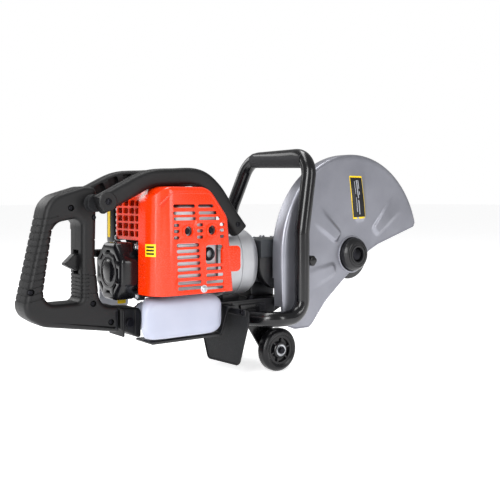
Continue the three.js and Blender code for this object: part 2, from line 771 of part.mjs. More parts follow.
add(
  "throttle_trigger",
  plateXZ(rounded([[-489, 208], [-489, 184], [-502, 184], [-517, 193], [-502, 208]], 2), -8, 8, 2),
  FINISH.blackNylon,
);
add(
  "stop_switch",
  plateXZ(rectangle(-495, -480, 242, 256, 3), GRIP_HALF + GAP, GRIP_HALF + 5, 2),
  FINISH.glossBlack,
);
add(
  "rear_mount_block",
  plateXZ(rounded([[-436, 92], [-404, 76], [-400, 78], [-400, 122], [-436, 124]], 5), -22, 22, 3),
  FINISH.blackNylon,
);

// ---- stand the saw on the floor with the middle of its box at the origin ------------------------
const bounds = new THREE.Box3().setFromObject(saw);
saw.position.set(
  -(bounds.min.x + bounds.max.x) / 2,
  -(bounds.min.y + bounds.max.y) / 2,
  -bounds.min.z,
);

export default saw;
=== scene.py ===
# %% [markdown]
# # A petrol rescue saw
# A hand-held saw with a small two-stroke engine in the middle, a turning disc guard in front on the right,
# a D-shaped handle behind and a bent tube in front. The CAD model fixes every size and every moving part.
# This lesson dresses it: each cell makes one real piece in mesh code, gives it a material made of nodes,
# and says which moving body carries it.

# %% Load the CAD frame
import math

import bmesh
import bpy
from mathutils import Matrix, Vector, noise


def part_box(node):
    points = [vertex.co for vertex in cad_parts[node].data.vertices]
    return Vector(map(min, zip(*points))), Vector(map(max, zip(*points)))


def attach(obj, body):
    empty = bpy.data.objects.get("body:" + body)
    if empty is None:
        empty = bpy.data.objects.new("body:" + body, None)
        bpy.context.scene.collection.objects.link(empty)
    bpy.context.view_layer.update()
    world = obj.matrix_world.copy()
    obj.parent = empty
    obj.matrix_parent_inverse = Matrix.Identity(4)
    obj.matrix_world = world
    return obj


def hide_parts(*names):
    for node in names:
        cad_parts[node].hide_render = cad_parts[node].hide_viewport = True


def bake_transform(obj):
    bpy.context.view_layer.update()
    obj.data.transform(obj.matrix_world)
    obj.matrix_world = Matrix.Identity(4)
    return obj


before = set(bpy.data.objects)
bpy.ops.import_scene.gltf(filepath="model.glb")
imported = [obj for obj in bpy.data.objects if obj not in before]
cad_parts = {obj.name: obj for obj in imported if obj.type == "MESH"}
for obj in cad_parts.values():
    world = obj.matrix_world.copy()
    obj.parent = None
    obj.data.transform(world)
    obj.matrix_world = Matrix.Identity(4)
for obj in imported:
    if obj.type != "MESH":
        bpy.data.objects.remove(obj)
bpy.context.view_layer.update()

# %% [markdown]
# ## One datum for every piece
# A saw is drawn from its disc spindle, so this script is too: x counts millimetres forward of the spindle,
# y to the left of the plane where the two handle shells meet, and z up from the floor. Both zero points are
# read from the CAD boxes. Meshes are made in these millimetres, because bevel widths and screw sizes read
# well that way, and one matrix turns each finished mesh to metres in the frame.

# %% The datum
spindle_low, spindle_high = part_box("spindle_shaft")
SPINDLE_X = (spindle_low[0] + spindle_high[0]) / 2
MIDDLE_Y = (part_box("grip_shell_right")[1][1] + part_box("grip_shell_left")[0][1]) / 2
TO_FRAME = Matrix.Translation((SPINDLE_X, MIDDLE_Y, 0)) @ Matrix.Scale(0.001, 4)


def saw_box(node):
    """The CAD node's lowest and highest corner in the saw's own millimetres."""
    back = TO_FRAME.inverted()
    low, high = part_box(node)
    return back @ Vector(low), back @ Vector(high)


def middle(node):
    low, high = saw_box(node)
    return (low + high) / 2


SPINDLE_Z = middle("spindle_shaft").z
CRANK_Z = middle("crankshaft").z
print(f"spindle {SPINDLE_Z:.0f} mm and crankshaft {CRANK_Z:.0f} mm above the floor")

# %% [markdown]
# ## The camera
# The saw is seen from behind its right side, level with the top of the engine cover, through a slightly
# long lens. The camera stays level so that upright edges stay upright, and the lens shifts down to frame
# the saw.

# %% The camera
VIEW_TURN = math.radians(37.5)
CAMERA_AT = (-969.5, -1038.4, 287.5)

camera_data = bpy.data.cameras.new("camera")
camera_data.lens = 54
camera_data.sensor_width = 36
camera_data.shift_y = -0.1
camera = bpy.data.objects.new("camera", camera_data)
camera.location = TO_FRAME @ Vector(CAMERA_AT)
camera.rotation_euler = (math.pi / 2, 0, -VIEW_TURN)
bpy.context.scene.collection.objects.link(camera)
bpy.context.scene.camera = camera
print("camera at", [round(value, 3) for value in camera.location])

# %% [markdown]
# ## Tools for outlines
# Most parts of a saw are flat outlines with rounded corners, given a thickness. `rounded` turns a short
# list of corners into points with true arcs, in two or three dimensions, so the same call also bends a
# tube's path.

# %% Rounded outlines and paths
ARC_STEPS = 6


def rounded(corners, radius=0.0, closed=True, steps=ARC_STEPS):
    """Corners with an arc at each. radius is one number, or a list with one for each corner."""
    points = []
    count = len(corners)
    spots = [Vector(corner) for corner in corners]
    for i, here in enumerate(spots):
        size = radius[i] if isinstance(radius, (list, tuple)) else radius
        if size <= 0 or (not closed and i in (0, count - 1)):
            points.append(here)
            continue
        back = spots[i - 1] - here
        ahead = spots[(i + 1) % count] - here
        half = back.angle(ahead) / 2
        if half > math.radians(89.5):
            points.append(here)
            continue
        reach = min(size / math.tan(half), 0.49 * back.length, 0.49 * ahead.length)
        size = reach * math.tan(half)
        centre = here + (back.normalized() + ahead.normalized()).normalized() * (size / math.sin(half))
        start = here + back.normalized() * reach - centre
        end = here + ahead.normalized() * reach - centre
        across = (end - start * (end.dot(start) / start.length_squared)).normalized() * size
        turn = start.angle(end)
        for k in range(steps + 1):
            angle = turn * k / steps
            points.append(centre + start * math.cos(angle) + across * math.sin(angle))
    return points


def rectangle(x0, x1, y0, y1, radius=0.0, steps=ARC_STEPS):
    return rounded([(x0, y0), (x1, y0), (x1, y1), (x0, y1)], radius, steps=steps)


def ring(centre, radius, sides=32, phase=0.0):
    x, y = centre
    turns = [2 * math.pi * (k + phase) / sides for k in range(sides)]
    return [Vector((x + radius * math.cos(t), y + radius * math.sin(t))) for t in turns]


# %% [markdown]
# ## Tools for solids
# A moulded or cast part never has a knife edge, so every thick outline gets a small round along its rim.
# Blender does both at once when a flat curve is given an extrusion and a bevel, and it takes holes as inner
# loops. Turned parts are profiles spun round an axis, and tubes are curves with a round bevel. All of them
# come back as plain meshes, still in millimetres.

# %% Thick outlines
PLANES = {
    "xz": Matrix(((1, 0, 0), (0, 0, -1), (0, 1, 0))),
    "xy": Matrix.Identity(3),
    "yz": Matrix(((0, 0, 1), (1, 0, 0), (0, 1, 0))),
}
DEPTH_AXIS = {"xz": Vector((0, 1, 0)), "xy": Vector((0, 0, 1)), "yz": Vector((1, 0, 0))}


def loose(name, data):
    """An unfinished object, in millimetres."""
    made = bpy.data.objects.new(name, data)
    bpy.context.scene.collection.objects.link(made)
    return made


def settled(raw, weld=0.0):
    """The object with its modifiers or curve made a plain mesh. weld joins points that are this near."""
    bpy.context.view_layer.update()
    shape = bpy.data.meshes.new_from_object(raw.evaluated_get(bpy.context.evaluated_depsgraph_get()))
    old = raw.data
    bm = bmesh.new()
    bm.from_mesh(shape)
    if weld:
        bmesh.ops.remove_doubles(bm, verts=bm.verts, dist=weld)
        bmesh.ops.recalc_face_normals(bm, faces=bm.faces)
    bm.to_mesh(shape)
    bm.free()
    if raw.type == "MESH":
        raw.modifiers.clear()
        raw.data = shape
        return raw
    made = loose(raw.name, shape)
    made.matrix_world = raw.matrix_world
    bpy.data.objects.remove(raw)
    if isinstance(old, bpy.types.Curve):
        bpy.data.curves.remove(old)
    made.data.transform(made.matrix_world)
    made.matrix_world = Matrix.Identity(4)
    return made


def thick(loops, near, far, edge=0.0, plane="xz", grow=0.0, rings=2):
    """Outlines with a thickness from near to far; a loop inside another is a hole. edge rounds the rims."""
    curve = bpy.data.curves.new("outline", "CURVE")
    curve.dimensions = "2D"
    curve.fill_mode = "BOTH"
    curve.extrude = (far - near) / 2 - edge
    curve.bevel_depth = edge
    curve.bevel_resolution = rings
    curve.offset = grow - edge
    for loop in loops:
        spline = curve.splines.new("POLY")
        spline.points.add(len(loop) - 1)
        for point, (u, v) in zip(spline.points, loop):
            point.co = (u, v, 0, 1)
        spline.use_cyclic_u = True
    holder = loose("outline", curve)
    shift = Matrix.Translation(DEPTH_AXIS[plane] * (near + far) / 2)
    holder.matrix_world = shift @ PLANES[plane].to_4x4()
    return settled(holder, 0.001)


# %% Turned parts, tubes and lofts
SPIN_AXES = {
    "x": lambda r, s, t: (s, r * math.cos(t), r * math.sin(t)),
    "y": lambda r, s, t: (r * math.sin(t), s, r * math.cos(t)),
    "z": lambda r, s, t: (r * math.cos(t), r * math.sin(t), s),
}


def lofted(loops, closed=False, capped=True):
    """A skin over equal loops of points. closed joins the last loop to the first."""
    bm = bmesh.new()
    rows = [[bm.verts.new(point) for point in loop] for loop in loops]
    pairs = list(zip(rows, rows[1:])) + ([(rows[-1], rows[0])] if closed else [])
    for a, b in pairs:
        for k in range(len(a)):
            n = (k + 1) % len(a)
            bm.faces.new((a[k], a[n], b[n], b[k]))
    if capped and not closed:
        bm.faces.new(rows[0])
        bm.faces.new(reversed(rows[-1]))
    mesh = bpy.data.meshes.new("loft")
    bm.to_mesh(mesh)
    bm.free()
    return settled(loose("loft", mesh), 0.001)


def turned(axis, profile, centre=(0, 0, 0), sides=48, shape=None):
    """A closed profile of (radius, distance along the axis), spun round an axis through centre."""
    place = SPIN_AXES[axis]
    shape = shape or (lambda r, s, t: r)
    loops = []
    for r, s in profile:
        turns = [2 * math.pi * k / sides for k in range(sides)]
        loops.append([Vector(place(shape(r, s, t), s, t)) + Vector(centre) for t in turns])
    on_axis = [r < 0.001 for r, s in profile]
    return lofted(loops, closed=not (on_axis[0] and on_axis[-1]), capped=False)


def tube(path, radius, sides=20, capped=True):
    """A round bar along a path of points."""
    curve = bpy.data.curves.new("tube", "CURVE")
    curve.dimensions = "3D"
    curve.bevel_depth = radius
    curve.bevel_resolution = sides // 4
    curve.use_fill_caps = capped
    spline = curve.splines.new("POLY")
    spline.points.add(len(path) - 1)
    for point, spot in zip(spline.points, path):
        point.co = (*spot, 1)
    return settled(loose("tube", curve), 0.001)


def rod(axis, radius, start, end, centre, edge=0.5, sides=32):
    """A short turned pin or disc with its rims rounded."""
    e = min(edge, radius * 0.45, (end - start) * 0.45)
    rim = rounded([(0, start), (radius, start), (radius, end), (0, end)], [0, e, e, 0], steps=2)
    u, v = centre
    middle_of = {"x": (0, u, v), "y": (u, 0, v), "z": (u, v, 0)}[axis]
    return turned(axis, [tuple(p) for p in rim], middle_of, sides)


# %% Cutting, joining and rounding
def with_modifier(target, kind, **settings):
    step = target.modifiers.new(kind.lower(), kind)
    for name, value in settings.items():
        setattr(step, name, value)
    return settled(target)


def joined(*parts):
    """Several solids in one object, left as they are."""
    bm = bmesh.new()
    for part in parts:
        bm.from_mesh(part.data)
    mesh = bpy.data.meshes.new("joined")
    bm.to_mesh(mesh)
    bm.free()
    for part in parts:
        bpy.data.objects.remove(part)
    return loose("joined", mesh)


def combine(target, tool, operation):
    made = with_modifier(target, "BOOLEAN", object=tool, operation=operation, solver="MANIFOLD")
    bpy.data.objects.remove(tool)
    return made


def cut(target, *tools):
    return combine(target, joined(*tools), "DIFFERENCE")


def fused(target, *tools):
    for tool in tools:
        target = combine(target, tool, "UNION")
    return target


def common(target, tool):
    return combine(target, tool, "INTERSECT")


def eased(target, width, steps=2, angle=40):
    """Rounds the sharp edges that a cut has left."""
    return with_modifier(
        target, "BEVEL", width=width, segments=steps, limit_method="ANGLE", angle_limit=math.radians(angle),
        use_clamp_overlap=True, miter_outer="MITER_SHARP",
    )


def moved(target, matrix):
    target.data.transform(matrix)
    target.data.update()
    return target


def leaning(centre, axis, degrees):
    """A turn round an axis through centre."""
    shift = Matrix.Translation(centre)
    return shift @ Matrix.Rotation(math.radians(degrees), 4, axis) @ shift.inverted()


# %% [markdown]
# ## Handing a piece over
# A finished piece is scaled to metres, shaded smooth except over real edges, given its material, and tied
# to the moving body that carries it. When it stands for CAD solids, those are hidden, and still collide in
# the physics.

# %% Handing a piece over
SMOOTH_ANGLE = math.radians(32)


def hand_over(name, shape, material, body="frame", stands_for=()):
    shape.name = name
    shape.data.name = name
    shape.data.transform(TO_FRAME)
    shape.data.shade_smooth()
    shape.data.set_sharp_from_angle(angle=SMOOTH_ANGLE)
    shape.data.materials.clear()
    shape.data.materials.append(material)
    if body:
        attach(shape, body)
    if stands_for:
        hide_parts(*stands_for)
    size = [round(side * 1000) for side in shape.dimensions]
    print(f"{name}: {len(shape.data.polygons)} faces, {size} mm, on {body or 'two bodies'}")
    return shape


# %% [markdown]
# ## Colour and nodes
# Colours are written as sRGB hex values, as a paint or plastics maker would match them, and one function
# turns them to the linear numbers that shaders use. One more function adds a node: its settings are
# keywords, and its inputs are numbers, colours or the outputs of other nodes.

# %% Colour and nodes
def linear(hex_colour):
    channels = [int(hex_colour[i : i + 2], 16) / 255 for i in (1, 3, 5)]
    curve = [c / 12.92 if c <= 0.04045 else ((c + 0.055) / 1.055) ** 2.4 for c in channels]
    return (*curve, 1.0)


def add(tree, kind, inputs=None, **settings):
    made = tree.nodes.new(kind)
    for name, value in settings.items():
        setattr(made, name, value)
    for socket, value in (inputs or {}).items():
        if isinstance(value, bpy.types.NodeSocket):
            tree.links.new(value, made.inputs[socket])
        else:
            made.inputs[socket].default_value = value
    return made


def per_mm(size):
    """A texture scale that gives features of this many millimetres, as coordinates are in metres."""
    return 1000 / size


def blank(name):
    """A material with an empty shader and its object coordinates: (material, tree, shader, coordinates)."""
    made = bpy.data.materials.new(name)
    made.use_nodes = True
    tree = made.node_tree
    tree.nodes.clear()
    shader = add(tree, "ShaderNodeBsdfPrincipled")
    add(tree, "ShaderNodeOutputMaterial", {"Surface": shader.outputs[0]})
    coordinates = add(tree, "ShaderNodeTexCoord").outputs["Object"]
    return made, tree, shader, coordinates


def finish_from(tree, shader, coords, colours, roughness, patch_mm, grain_mm, depth_mm, detail=3.0):
    """Wires a shader's colour, roughness and bump: patches of two close colours, and a fine grain."""
    patches = add(
        tree, "ShaderNodeTexNoise", {"Vector": coords, "Scale": per_mm(patch_mm), "Detail": detail},
    )
    mix = add(
        tree, "ShaderNodeMix",
        {"Factor": patches.outputs["Fac"], "A": linear(colours[0]), "B": linear(colours[1])},
        data_type="RGBA",
    )
    tree.links.new(mix.outputs["Result"], shader.inputs["Base Color"])
    grain = add(tree, "ShaderNodeTexNoise", {"Vector": coords, "Scale": per_mm(grain_mm), "Detail": 2.0})
    spread = add(
        tree, "ShaderNodeMapRange",
        {"Value": grain.outputs["Fac"], "From Min": 0.3, "From Max": 0.7, "To Min": roughness[0],
         "To Max": roughness[1]},
    )
    tree.links.new(spread.outputs["Result"], shader.inputs["Roughness"])
    bump = add(
        tree, "ShaderNodeBump",
        {"Height": grain.outputs["Fac"], "Distance": depth_mm * 0.001, "Strength": 1.0},
    )
    tree.links.new(bump.outputs["Normal"], shader.inputs["Normal"])
    return grain, bump


# %% [markdown]
# ## Glass-filled nylon
# The handle, the rails and the starter are injection-moulded nylon 6 with glass fibre. It is matt because
# the steel mould is spark-eroded: a grain of about 0.6 mm, a few hundredths of a millimetre deep. The grain
# is drawn at 0.9 mm so that it still shows at this distance. Nylon's IOR is 1.53.

# %% Glass-filled nylon
def moulded_nylon(name, colours, roughness, grain_mm=0.9, depth_mm=0.05):
    made, tree, shader, coords = blank(name)
    finish_from(tree, shader, coords, colours, roughness, 45, grain_mm, depth_mm)
    shader.inputs["IOR"].default_value = 1.53
    shader.inputs["Specular IOR Level"].default_value = 0.3
    return made


black_nylon = moulded_nylon("glass_filled_nylon_black", ("#070708", "#0C0C0E"), (0.46, 0.56))
gloss_nylon = moulded_nylon("polished_nylon_black", ("#0A0A0C", "#101013"), (0.17, 0.21), 5.0, 0.01)
red_nylon = moulded_nylon("nylon_cover_orange_red", ("#E02E00", "#E63200"), (0.25, 0.29), 2.2, 0.006)
red_nylon.node_tree.nodes["Principled BSDF"].inputs["Coat Weight"].default_value = 0.25
red_nylon.node_tree.nodes["Principled BSDF"].inputs["Coat Roughness"].default_value = 0.12

# %% [markdown]
# ## Rubber and polyurethane
# The flap is cut from calendered rubber sheet, matt with a faint bloom. The handle sleeve is dipped foam
# rubber. The wheels are cast polyurethane, smoother and with a soft shine. Rubber's IOR is 1.52 and
# polyurethane's 1.5.

# %% Rubber and polyurethane
def rubber(name, colours, roughness, grain_mm, depth_mm, ior):
    made, tree, shader, coords = blank(name)
    finish_from(tree, shader, coords, colours, roughness, 30, grain_mm, depth_mm)
    shader.inputs["IOR"].default_value = ior
    shader.inputs["Specular IOR Level"].default_value = 0.3
    return made


sheet_rubber = rubber("calendered_rubber_sheet", ("#0E0F11", "#151619"), (0.6, 0.75), 1.6, 0.04, 1.52)
sleeve_rubber = rubber("dipped_rubber_sleeve", ("#17171A", "#1F1F22"), (0.62, 0.75), 1.0, 0.06, 1.52)
wheel_rubber = rubber("cast_polyurethane_black", ("#0A0A0C", "#0F0F12"), (0.26, 0.31), 5.0, 0.01, 1.5)
rope_fibre = rubber("braided_rope_black", ("#1B1B1B", "#2C2C2C"), (0.8, 0.95), 0.8, 0.2, 1.5)

# %% [markdown]
# ## Powder coat and silver paint
# The tube handle, struts and brackets are mild steel under gloss black powder coat, which flows out into a
# soft orange peel some 4 mm across and under a hundredth deep. The guard wears silver paint: aluminium
# flakes in clear lacquer, so it is partly metallic, with flakes drawn at 0.8 mm (real ones are finer than
# the picture shows) and broad faint clouds.

# %% Powder coat
def powder_coat(name, colours, roughness):
    made, tree, shader, coords = blank(name)
    finish_from(tree, shader, coords, colours, roughness, 60, 4.0, 0.008)
    shader.inputs["IOR"].default_value = 1.5
    shader.inputs["Specular IOR Level"].default_value = 0.35
    shader.inputs["Coat Weight"].default_value = 0.25
    shader.inputs["Coat Roughness"].default_value = 0.08
    return made


black_powder_coat = powder_coat("powder_coated_steel_black", ("#060608", "#0A0A0D"), (0.22, 0.26))
satin_powder_coat = powder_coat("satin_coated_steel_black", ("#0B0B0D", "#111114"), (0.36, 0.42))


# %% Silver flake paint
def flake_paint(name, colours, roughness, metallic):
    made, tree, shader, coords = blank(name)
    grain, bump = finish_from(tree, shader, coords, colours, roughness, 55, 1.6, 0.05, detail=6.0)
    flakes = add(tree, "ShaderNodeTexVoronoi", {"Vector": coords, "Scale": per_mm(0.8)})
    tilt = add(
        tree, "ShaderNodeBump",
        {
            "Height": flakes.outputs["Color"], "Distance": 0.00002, "Strength": 0.35,
            "Normal": bump.outputs["Normal"],
        },
    )
    tree.links.new(tilt.outputs["Normal"], shader.inputs["Normal"])
    shader.inputs["Metallic"].default_value = metallic
    shader.inputs["Coat Weight"].default_value = 0.2
    shader.inputs["Coat Roughness"].default_value = 0.2
    return made


silver_paint = flake_paint("silver_flake_paint", ("#7B7C84", "#9D9EA7"), (0.33, 0.45), 0.72)

# %% [markdown]
# ## Cast and machined metal
# The crankcase and clutch housing are die-cast aluminium, blasted after casting: a pale grey metal with a
# sandy skin of about 0.9 mm and darker pits. The silencer is aluminised steel sheet. Screws and shafts are
# machined steel, zinc plated, with turning marks a third of a millimetre apart, drawn at 0.8 mm. Metals
# keep the default IOR, since their colour already says how they reflect.

# %% Cast and machined metal
def cast_metal(name, colours, roughness, metallic=0.85, grain_mm=0.9, depth_mm=0.12):
    made, tree, shader, coords = blank(name)
    grain, bump = finish_from(tree, shader, coords, colours, roughness, 25, grain_mm, depth_mm, detail=5.0)
    pits = add(tree, "ShaderNodeTexVoronoi", {"Vector": coords, "Scale": per_mm(grain_mm * 3)})
    hollow = add(
        tree, "ShaderNodeBump",
        {"Height": pits.outputs["Distance"], "Distance": depth_mm * 0.0006, "Strength": 0.5,
         "Normal": bump.outputs["Normal"]},
    )
    tree.links.new(hollow.outputs["Normal"], shader.inputs["Normal"])
    shader.inputs["Metallic"].default_value = metallic
    return made


cast_aluminium = cast_metal("die_cast_aluminium", ("#A8A9AD", "#C4C5C8"), (0.42, 0.58))
dark_casting = cast_metal("coated_casting_dark", ("#2B2D30", "#3A3D41"), (0.4, 0.55), 0.5)
silencer_steel = cast_metal("aluminised_steel_sheet", ("#A6A8AC", "#B9BBBF"), (0.35, 0.5), 0.8, 1.5, 0.04)


def machined_steel(name, colours, roughness):
    made, tree, shader, coords = blank(name)
    finish_from(tree, shader, coords, colours, roughness, 12, 0.8, 0.02)
    shader.inputs["Metallic"].default_value = 1.0
    return made


zinc_steel = machined_steel("zinc_plated_steel", ("#B4B7BC", "#CACCD0"), (0.22, 0.34))
dark_steel = machined_steel("blackened_steel", ("#1C1C1F", "#2B2B2F"), (0.3, 0.45))

# %% [markdown]
# ## Milky tank plastic
# The fuel tank is blow-moulded high-density polyethylene without pigment, so the fuel level shows. Light
# enters and spreads a few millimetres before it leaves: that is subsurface scattering, set here to about 6
# mm. Its skin is waxy rather than glossy, and its IOR is 1.54.

# %% Milky tank plastic
tank_plastic, tree, shader, coords = blank("blow_moulded_polyethylene")
finish_from(tree, shader, coords, ("#A4A9BB", "#B1B5C5"), (0.34, 0.44), 40, 9.0, 0.1)
shader.inputs["IOR"].default_value = 1.54
shader.inputs["Subsurface Weight"].default_value = 0.35
shader.inputs["Subsurface Radius"].default_value = (1.0, 0.95, 0.9)
shader.inputs["Subsurface Scale"].default_value = 0.006

# %% [markdown]
# ## Printed film and foam
# The plates on the cover and guard are printed vinyl film with plain marks only. The air filter is
# open-cell polyurethane foam, oiled black.

# %% Printed film
yellow_film = moulded_nylon("vinyl_film_yellow", ("#EBC414", "#F0CC22"), (0.3, 0.4), 3.0, 0.01)
black_film = moulded_nylon("vinyl_film_black", ("#121214", "#19191B"), (0.28, 0.38), 3.0, 0.01)
white_film = moulded_nylon("vinyl_film_grey", ("#8E9096", "#A2A4AA"), (0.35, 0.45), 3.0, 0.01)
grey_plate_paint = powder_coat("coated_plate_light_grey", ("#C3C5CC", "#CDCFD6"), (0.35, 0.45))
print(len(bpy.data.materials), "materials made")

# %% [markdown]
# ## Screws
# Three kinds of fastener hold the saw: hexagon bolts with a chamfered head on a washer, and pan-head screws
# with a cross recess. A bolt head is a short turned button cut by a hexagon, which gives the curved chamfer
# lines of a real one.

# %% Screws
TURN_TO = {
    "+x": Matrix.Rotation(math.pi / 2, 4, "Y"), "-x": Matrix.Rotation(-math.pi / 2, 4, "Y"),
    "+y": Matrix.Rotation(-math.pi / 2, 4, "X"), "-y": Matrix.Rotation(math.pi / 2, 4, "X"),
    "+z": Matrix.Identity(4), "-z": Matrix.Rotation(math.pi, 4, "X"),
}


def hex_head(seat, facing, across=13.0, height=5.0):
    """A hexagon head standing on a washer. seat is its foot; facing is the way it points."""
    r = across / 2
    button = [(0, 0), (r * 1.14, 0), (r * 1.14, height * 0.8), (r * 0.92, height), (0, height)]
    head = common(
        turned("z", button, sides=48),
        thick([ring((0, 0), r / math.cos(math.pi / 6), 6)], -1, height + 1, 0, "xy"),
    )
    washer = turned("z", [(0, -0.2), (r * 1.3, -0.2), (r * 1.3, 0.8), (r * 1.2, 1.1), (0, 1.1)], sides=32)
    return moved(joined(head, washer), Matrix.Translation(seat) @ TURN_TO[facing])


def pan_head(seat, facing, across=9.0, height=2.8, washer=0.0):
    """A domed screw head with a cross recess, on a washer if it has one."""
    r = across / 2
    dome = [(0, -1.5), (r, -1.5), (r, 0.3), (r * 0.93, height * 0.6), (r * 0.7, height * 0.92), (0, height)]
    cross = [
        thick([rectangle(-r * 0.6, r * 0.6, -r * 0.14, r * 0.14)], height * 0.35, height + 1, 0, "xy"),
        thick([rectangle(-r * 0.14, r * 0.14, -r * 0.6, r * 0.6)], height * 0.35, height + 1, 0, "xy"),
    ]
    head = cut(turned("z", dome, sides=32), fused(*cross))
    if washer:
        w = washer / 2
        head = joined(
            head, turned("z", [(0, -1.2), (w, -1.2), (w, 0), (w * 0.95, 0.35), (0, 0.35)], sides=32),
        )
    return moved(head, Matrix.Translation(seat) @ TURN_TO[facing])


# %% [markdown]
# ## The disc guard
# The guard is a deep-drawn steel shell: an outer sheet, a rounded rim and an inner sheet, open below for
# the disc. Pressed panels stiffen the outer sheet; each starts sharply near the hub and fades out towards
# the rim. It is made by turning a fine wall profile, pushing the panels out of the mesh point by point, and
# cutting the round shell with a flat blade-side outline. The lower edge is hemmed, which gives it a thick,
# bright line.

# %% The guard's outline and panels
GUARD_CENTRE = Vector((10.5, 0, 197))
GUARD_FACE_Y = -76
LOWER_EDGE = [
    (176, 247), (168, 237), (69, 207), (45, 196), (-16, 151), (-65, 112), (-96, 76), (-104, 70), (-135, 70),
    (-157, 79), (-160, 92), (-163, 206),
]
EDGE_RADII = [5, 8, 30, 14, 60, 120, 10, 8, 10, 8, 30, 0]
# Each panel: middle of its inner end, the way it runs, its length, and its half widths inside and outside.
PANELS = [
    ((-31, 219), (-0.79, 0.61), 72, 13.5, 19),
    ((58, 227), (0.76, 0.65), 92, 12.5, 22),
    ((-40, 168), (-0.95, -0.31), 74, 12.5, 20),
    ((24, 248), (-0.12, 0.99), 105, 14, 21),
]
PANEL_HEIGHT = 3.4


def smooth(t):
    t = max(0.0, min(1.0, t))
    return t * t * (3 - 2 * t)


def panel_height(x, z):
    tallest = 0.0
    for (x0, z0), (dx, dz), length, near_half, far_half in PANELS:
        along = (x - x0) * dx + (z - z0) * dz
        across = abs((z - z0) * dx - (x - x0) * dz)
        half = near_half + (far_half - near_half) * along / length
        corner = min(half, 9.0)
        gap_along = max(corner - along, 0.0)
        gap_across = max(across - half + corner, 0.0)
        inside = corner - math.hypot(gap_along, gap_across)
        fade = smooth(1.35 * (1 - along / length))
        tallest = max(tallest, smooth(inside / 6.5) * fade)
    return tallest * PANEL_HEIGHT


# %% Turn, press and cut the guard
outer_face = [(r, GUARD_FACE_Y) for r in range(1, 166, 3)]
rim_out = [
    (166 + 7 * math.sin(math.radians(a)), -69 - 7 * math.cos(math.radians(a))) for a in range(8, 91, 12)
]
rim_in = [
    (167 + 6 * math.cos(math.radians(a)), -52 + 6 * math.sin(math.radians(a))) for a in range(0, 91, 15)
]
inside = [
    (1, -48.2), (165.8, -48.2), (169.4, -49.6), (170.8, -53), (170.8, -68.6), (169, -72.4), (164.5, -73.8),
]
wall = outer_face + rim_out + rim_in + [(1, -46)] + inside + [(1, -73.8)]


def skirt(r, s, t):
    """The round wall, let down straight at the back where the rim becomes a skirt."""
    if math.sin(t) > -0.2 or math.cos(t) > 0:
        return r
    reach = min(171.8 / abs(math.sin(t)), 214)
    return r + (reach - 171.8) * smooth((r - 110) / 55)


shell = turned("y", wall, GUARD_CENTRE, 240, skirt)
for vertex in shell.data.vertices:
    if vertex.co.y < GUARD_FACE_Y + 0.6 or abs(vertex.co.y + 73.8) < 0.1:
        vertex.co.y -= panel_height(vertex.co.x, vertex.co.z)

lower_edge = rounded([(x, z) for x, z in LOWER_EDGE], EDGE_RADII, closed=False, steps=8)
blank_outline = [Vector((176, 400)), Vector((210, 247))] + lower_edge + [
    Vector((-200, 206)), Vector((-200, 400)),
]
hub_hole = rod("y", 30, -84, -70, (0, SPINDLE_Z), 0, 64)
back_hole = rod("y", 27, -50, -40, (0, SPINDLE_Z), 0, 64)
arm_room = thick([rectangle(-175, -34, 55, 155, 10)], -52, -40)
shell = common(shell, thick([blank_outline], -90, -40))
shell = cut(shell, hub_hole, back_hole, arm_room)
print("guard wall cut:", len(shell.data.polygons), "faces")

# %% Hem the guard's lower edge
hem_line = [Vector((x, GUARD_FACE_Y + 1.0, z)) for x, z in lower_edge if x > -159]
collar = [(30.2, -74), (33.5, -74), (33.5, -77), (32.4, -78), (31.2, -78), (30.2, -77)]
guard = joined(shell, tube(hem_line[2:], 1.7, 12), turned("y", collar, (0, 0, SPINDLE_Z), 64))
hand_over("guard_pressed_shell", guard, silver_paint, "guard", ["guard_shell"])

# %% The wing screw that locks the guard
wing = thick([rounded([(-117, 184), (-108, 172), (-98, 184), (-108, 196)], 5)], -93, -83, 1.6)
stem = turned("y", [(0, -84), (7, -84), (7, -79), (8.5, -78), (8.5, -76.3), (0, -76.3)], (-108, 0, 184), 32)
hand_over(
    "guard_wing_screw", joined(wing, stem), black_powder_coat, "guard_lock",
    ["guard_lock_knob"],
)

# %% [markdown]
# The plate on the guard is printed film: a yellow border, a black field and a few plain grey bars where the
# maker would print words. It is bedded on the panel, so its points follow the panel's height.

# %% The plate on the guard
def film(corners, lift, inset=0.0, steps=(4, 14)):
    """A thin sheet over the guard's face between four corners, following the pressed panels."""
    c = [Vector(p) for p in corners]
    mid = sum(c, Vector((0, 0))) / 4
    c = [p + (mid - p).normalized() * inset for p in c]
    bm = bmesh.new()
    rows = []
    for j in range(steps[1] + 1):
        left, right = c[0].lerp(c[3], j / steps[1]), c[1].lerp(c[2], j / steps[1])
        row = [left.lerp(right, i / steps[0]) for i in range(steps[0] + 1)]
        rows.append([bm.verts.new((p.x, GUARD_FACE_Y - lift - panel_height(p.x, p.y), p.y)) for p in row])
    for a, b in zip(rows, rows[1:]):
        for k in range(steps[0]):
            bm.faces.new((a[k], a[k + 1], b[k + 1], b[k]))
    mesh = bpy.data.meshes.new("film")
    bm.to_mesh(mesh)
    bm.free()
    return with_modifier(loose("film", mesh), "SOLIDIFY", thickness=0.3, offset=0)


PLATE = [(-6, 331), (24, 331), (32, 254.5), (4, 253)]


def plate_spot(across, down):
    """A point on the plate: across from its left edge, down from its top, both 0 to 1."""
    a, b, c, d = [Vector(p) for p in PLATE]
    return a.lerp(b, across).lerp(d.lerp(c, across), down)


def bar_on_plate(u0, u1, v0, v1, lift):
    return film(
        [plate_spot(u0, v0), plate_spot(u1, v0), plate_spot(u1, v1), plate_spot(u0, v1)], lift, 0, (2, 8),
    )


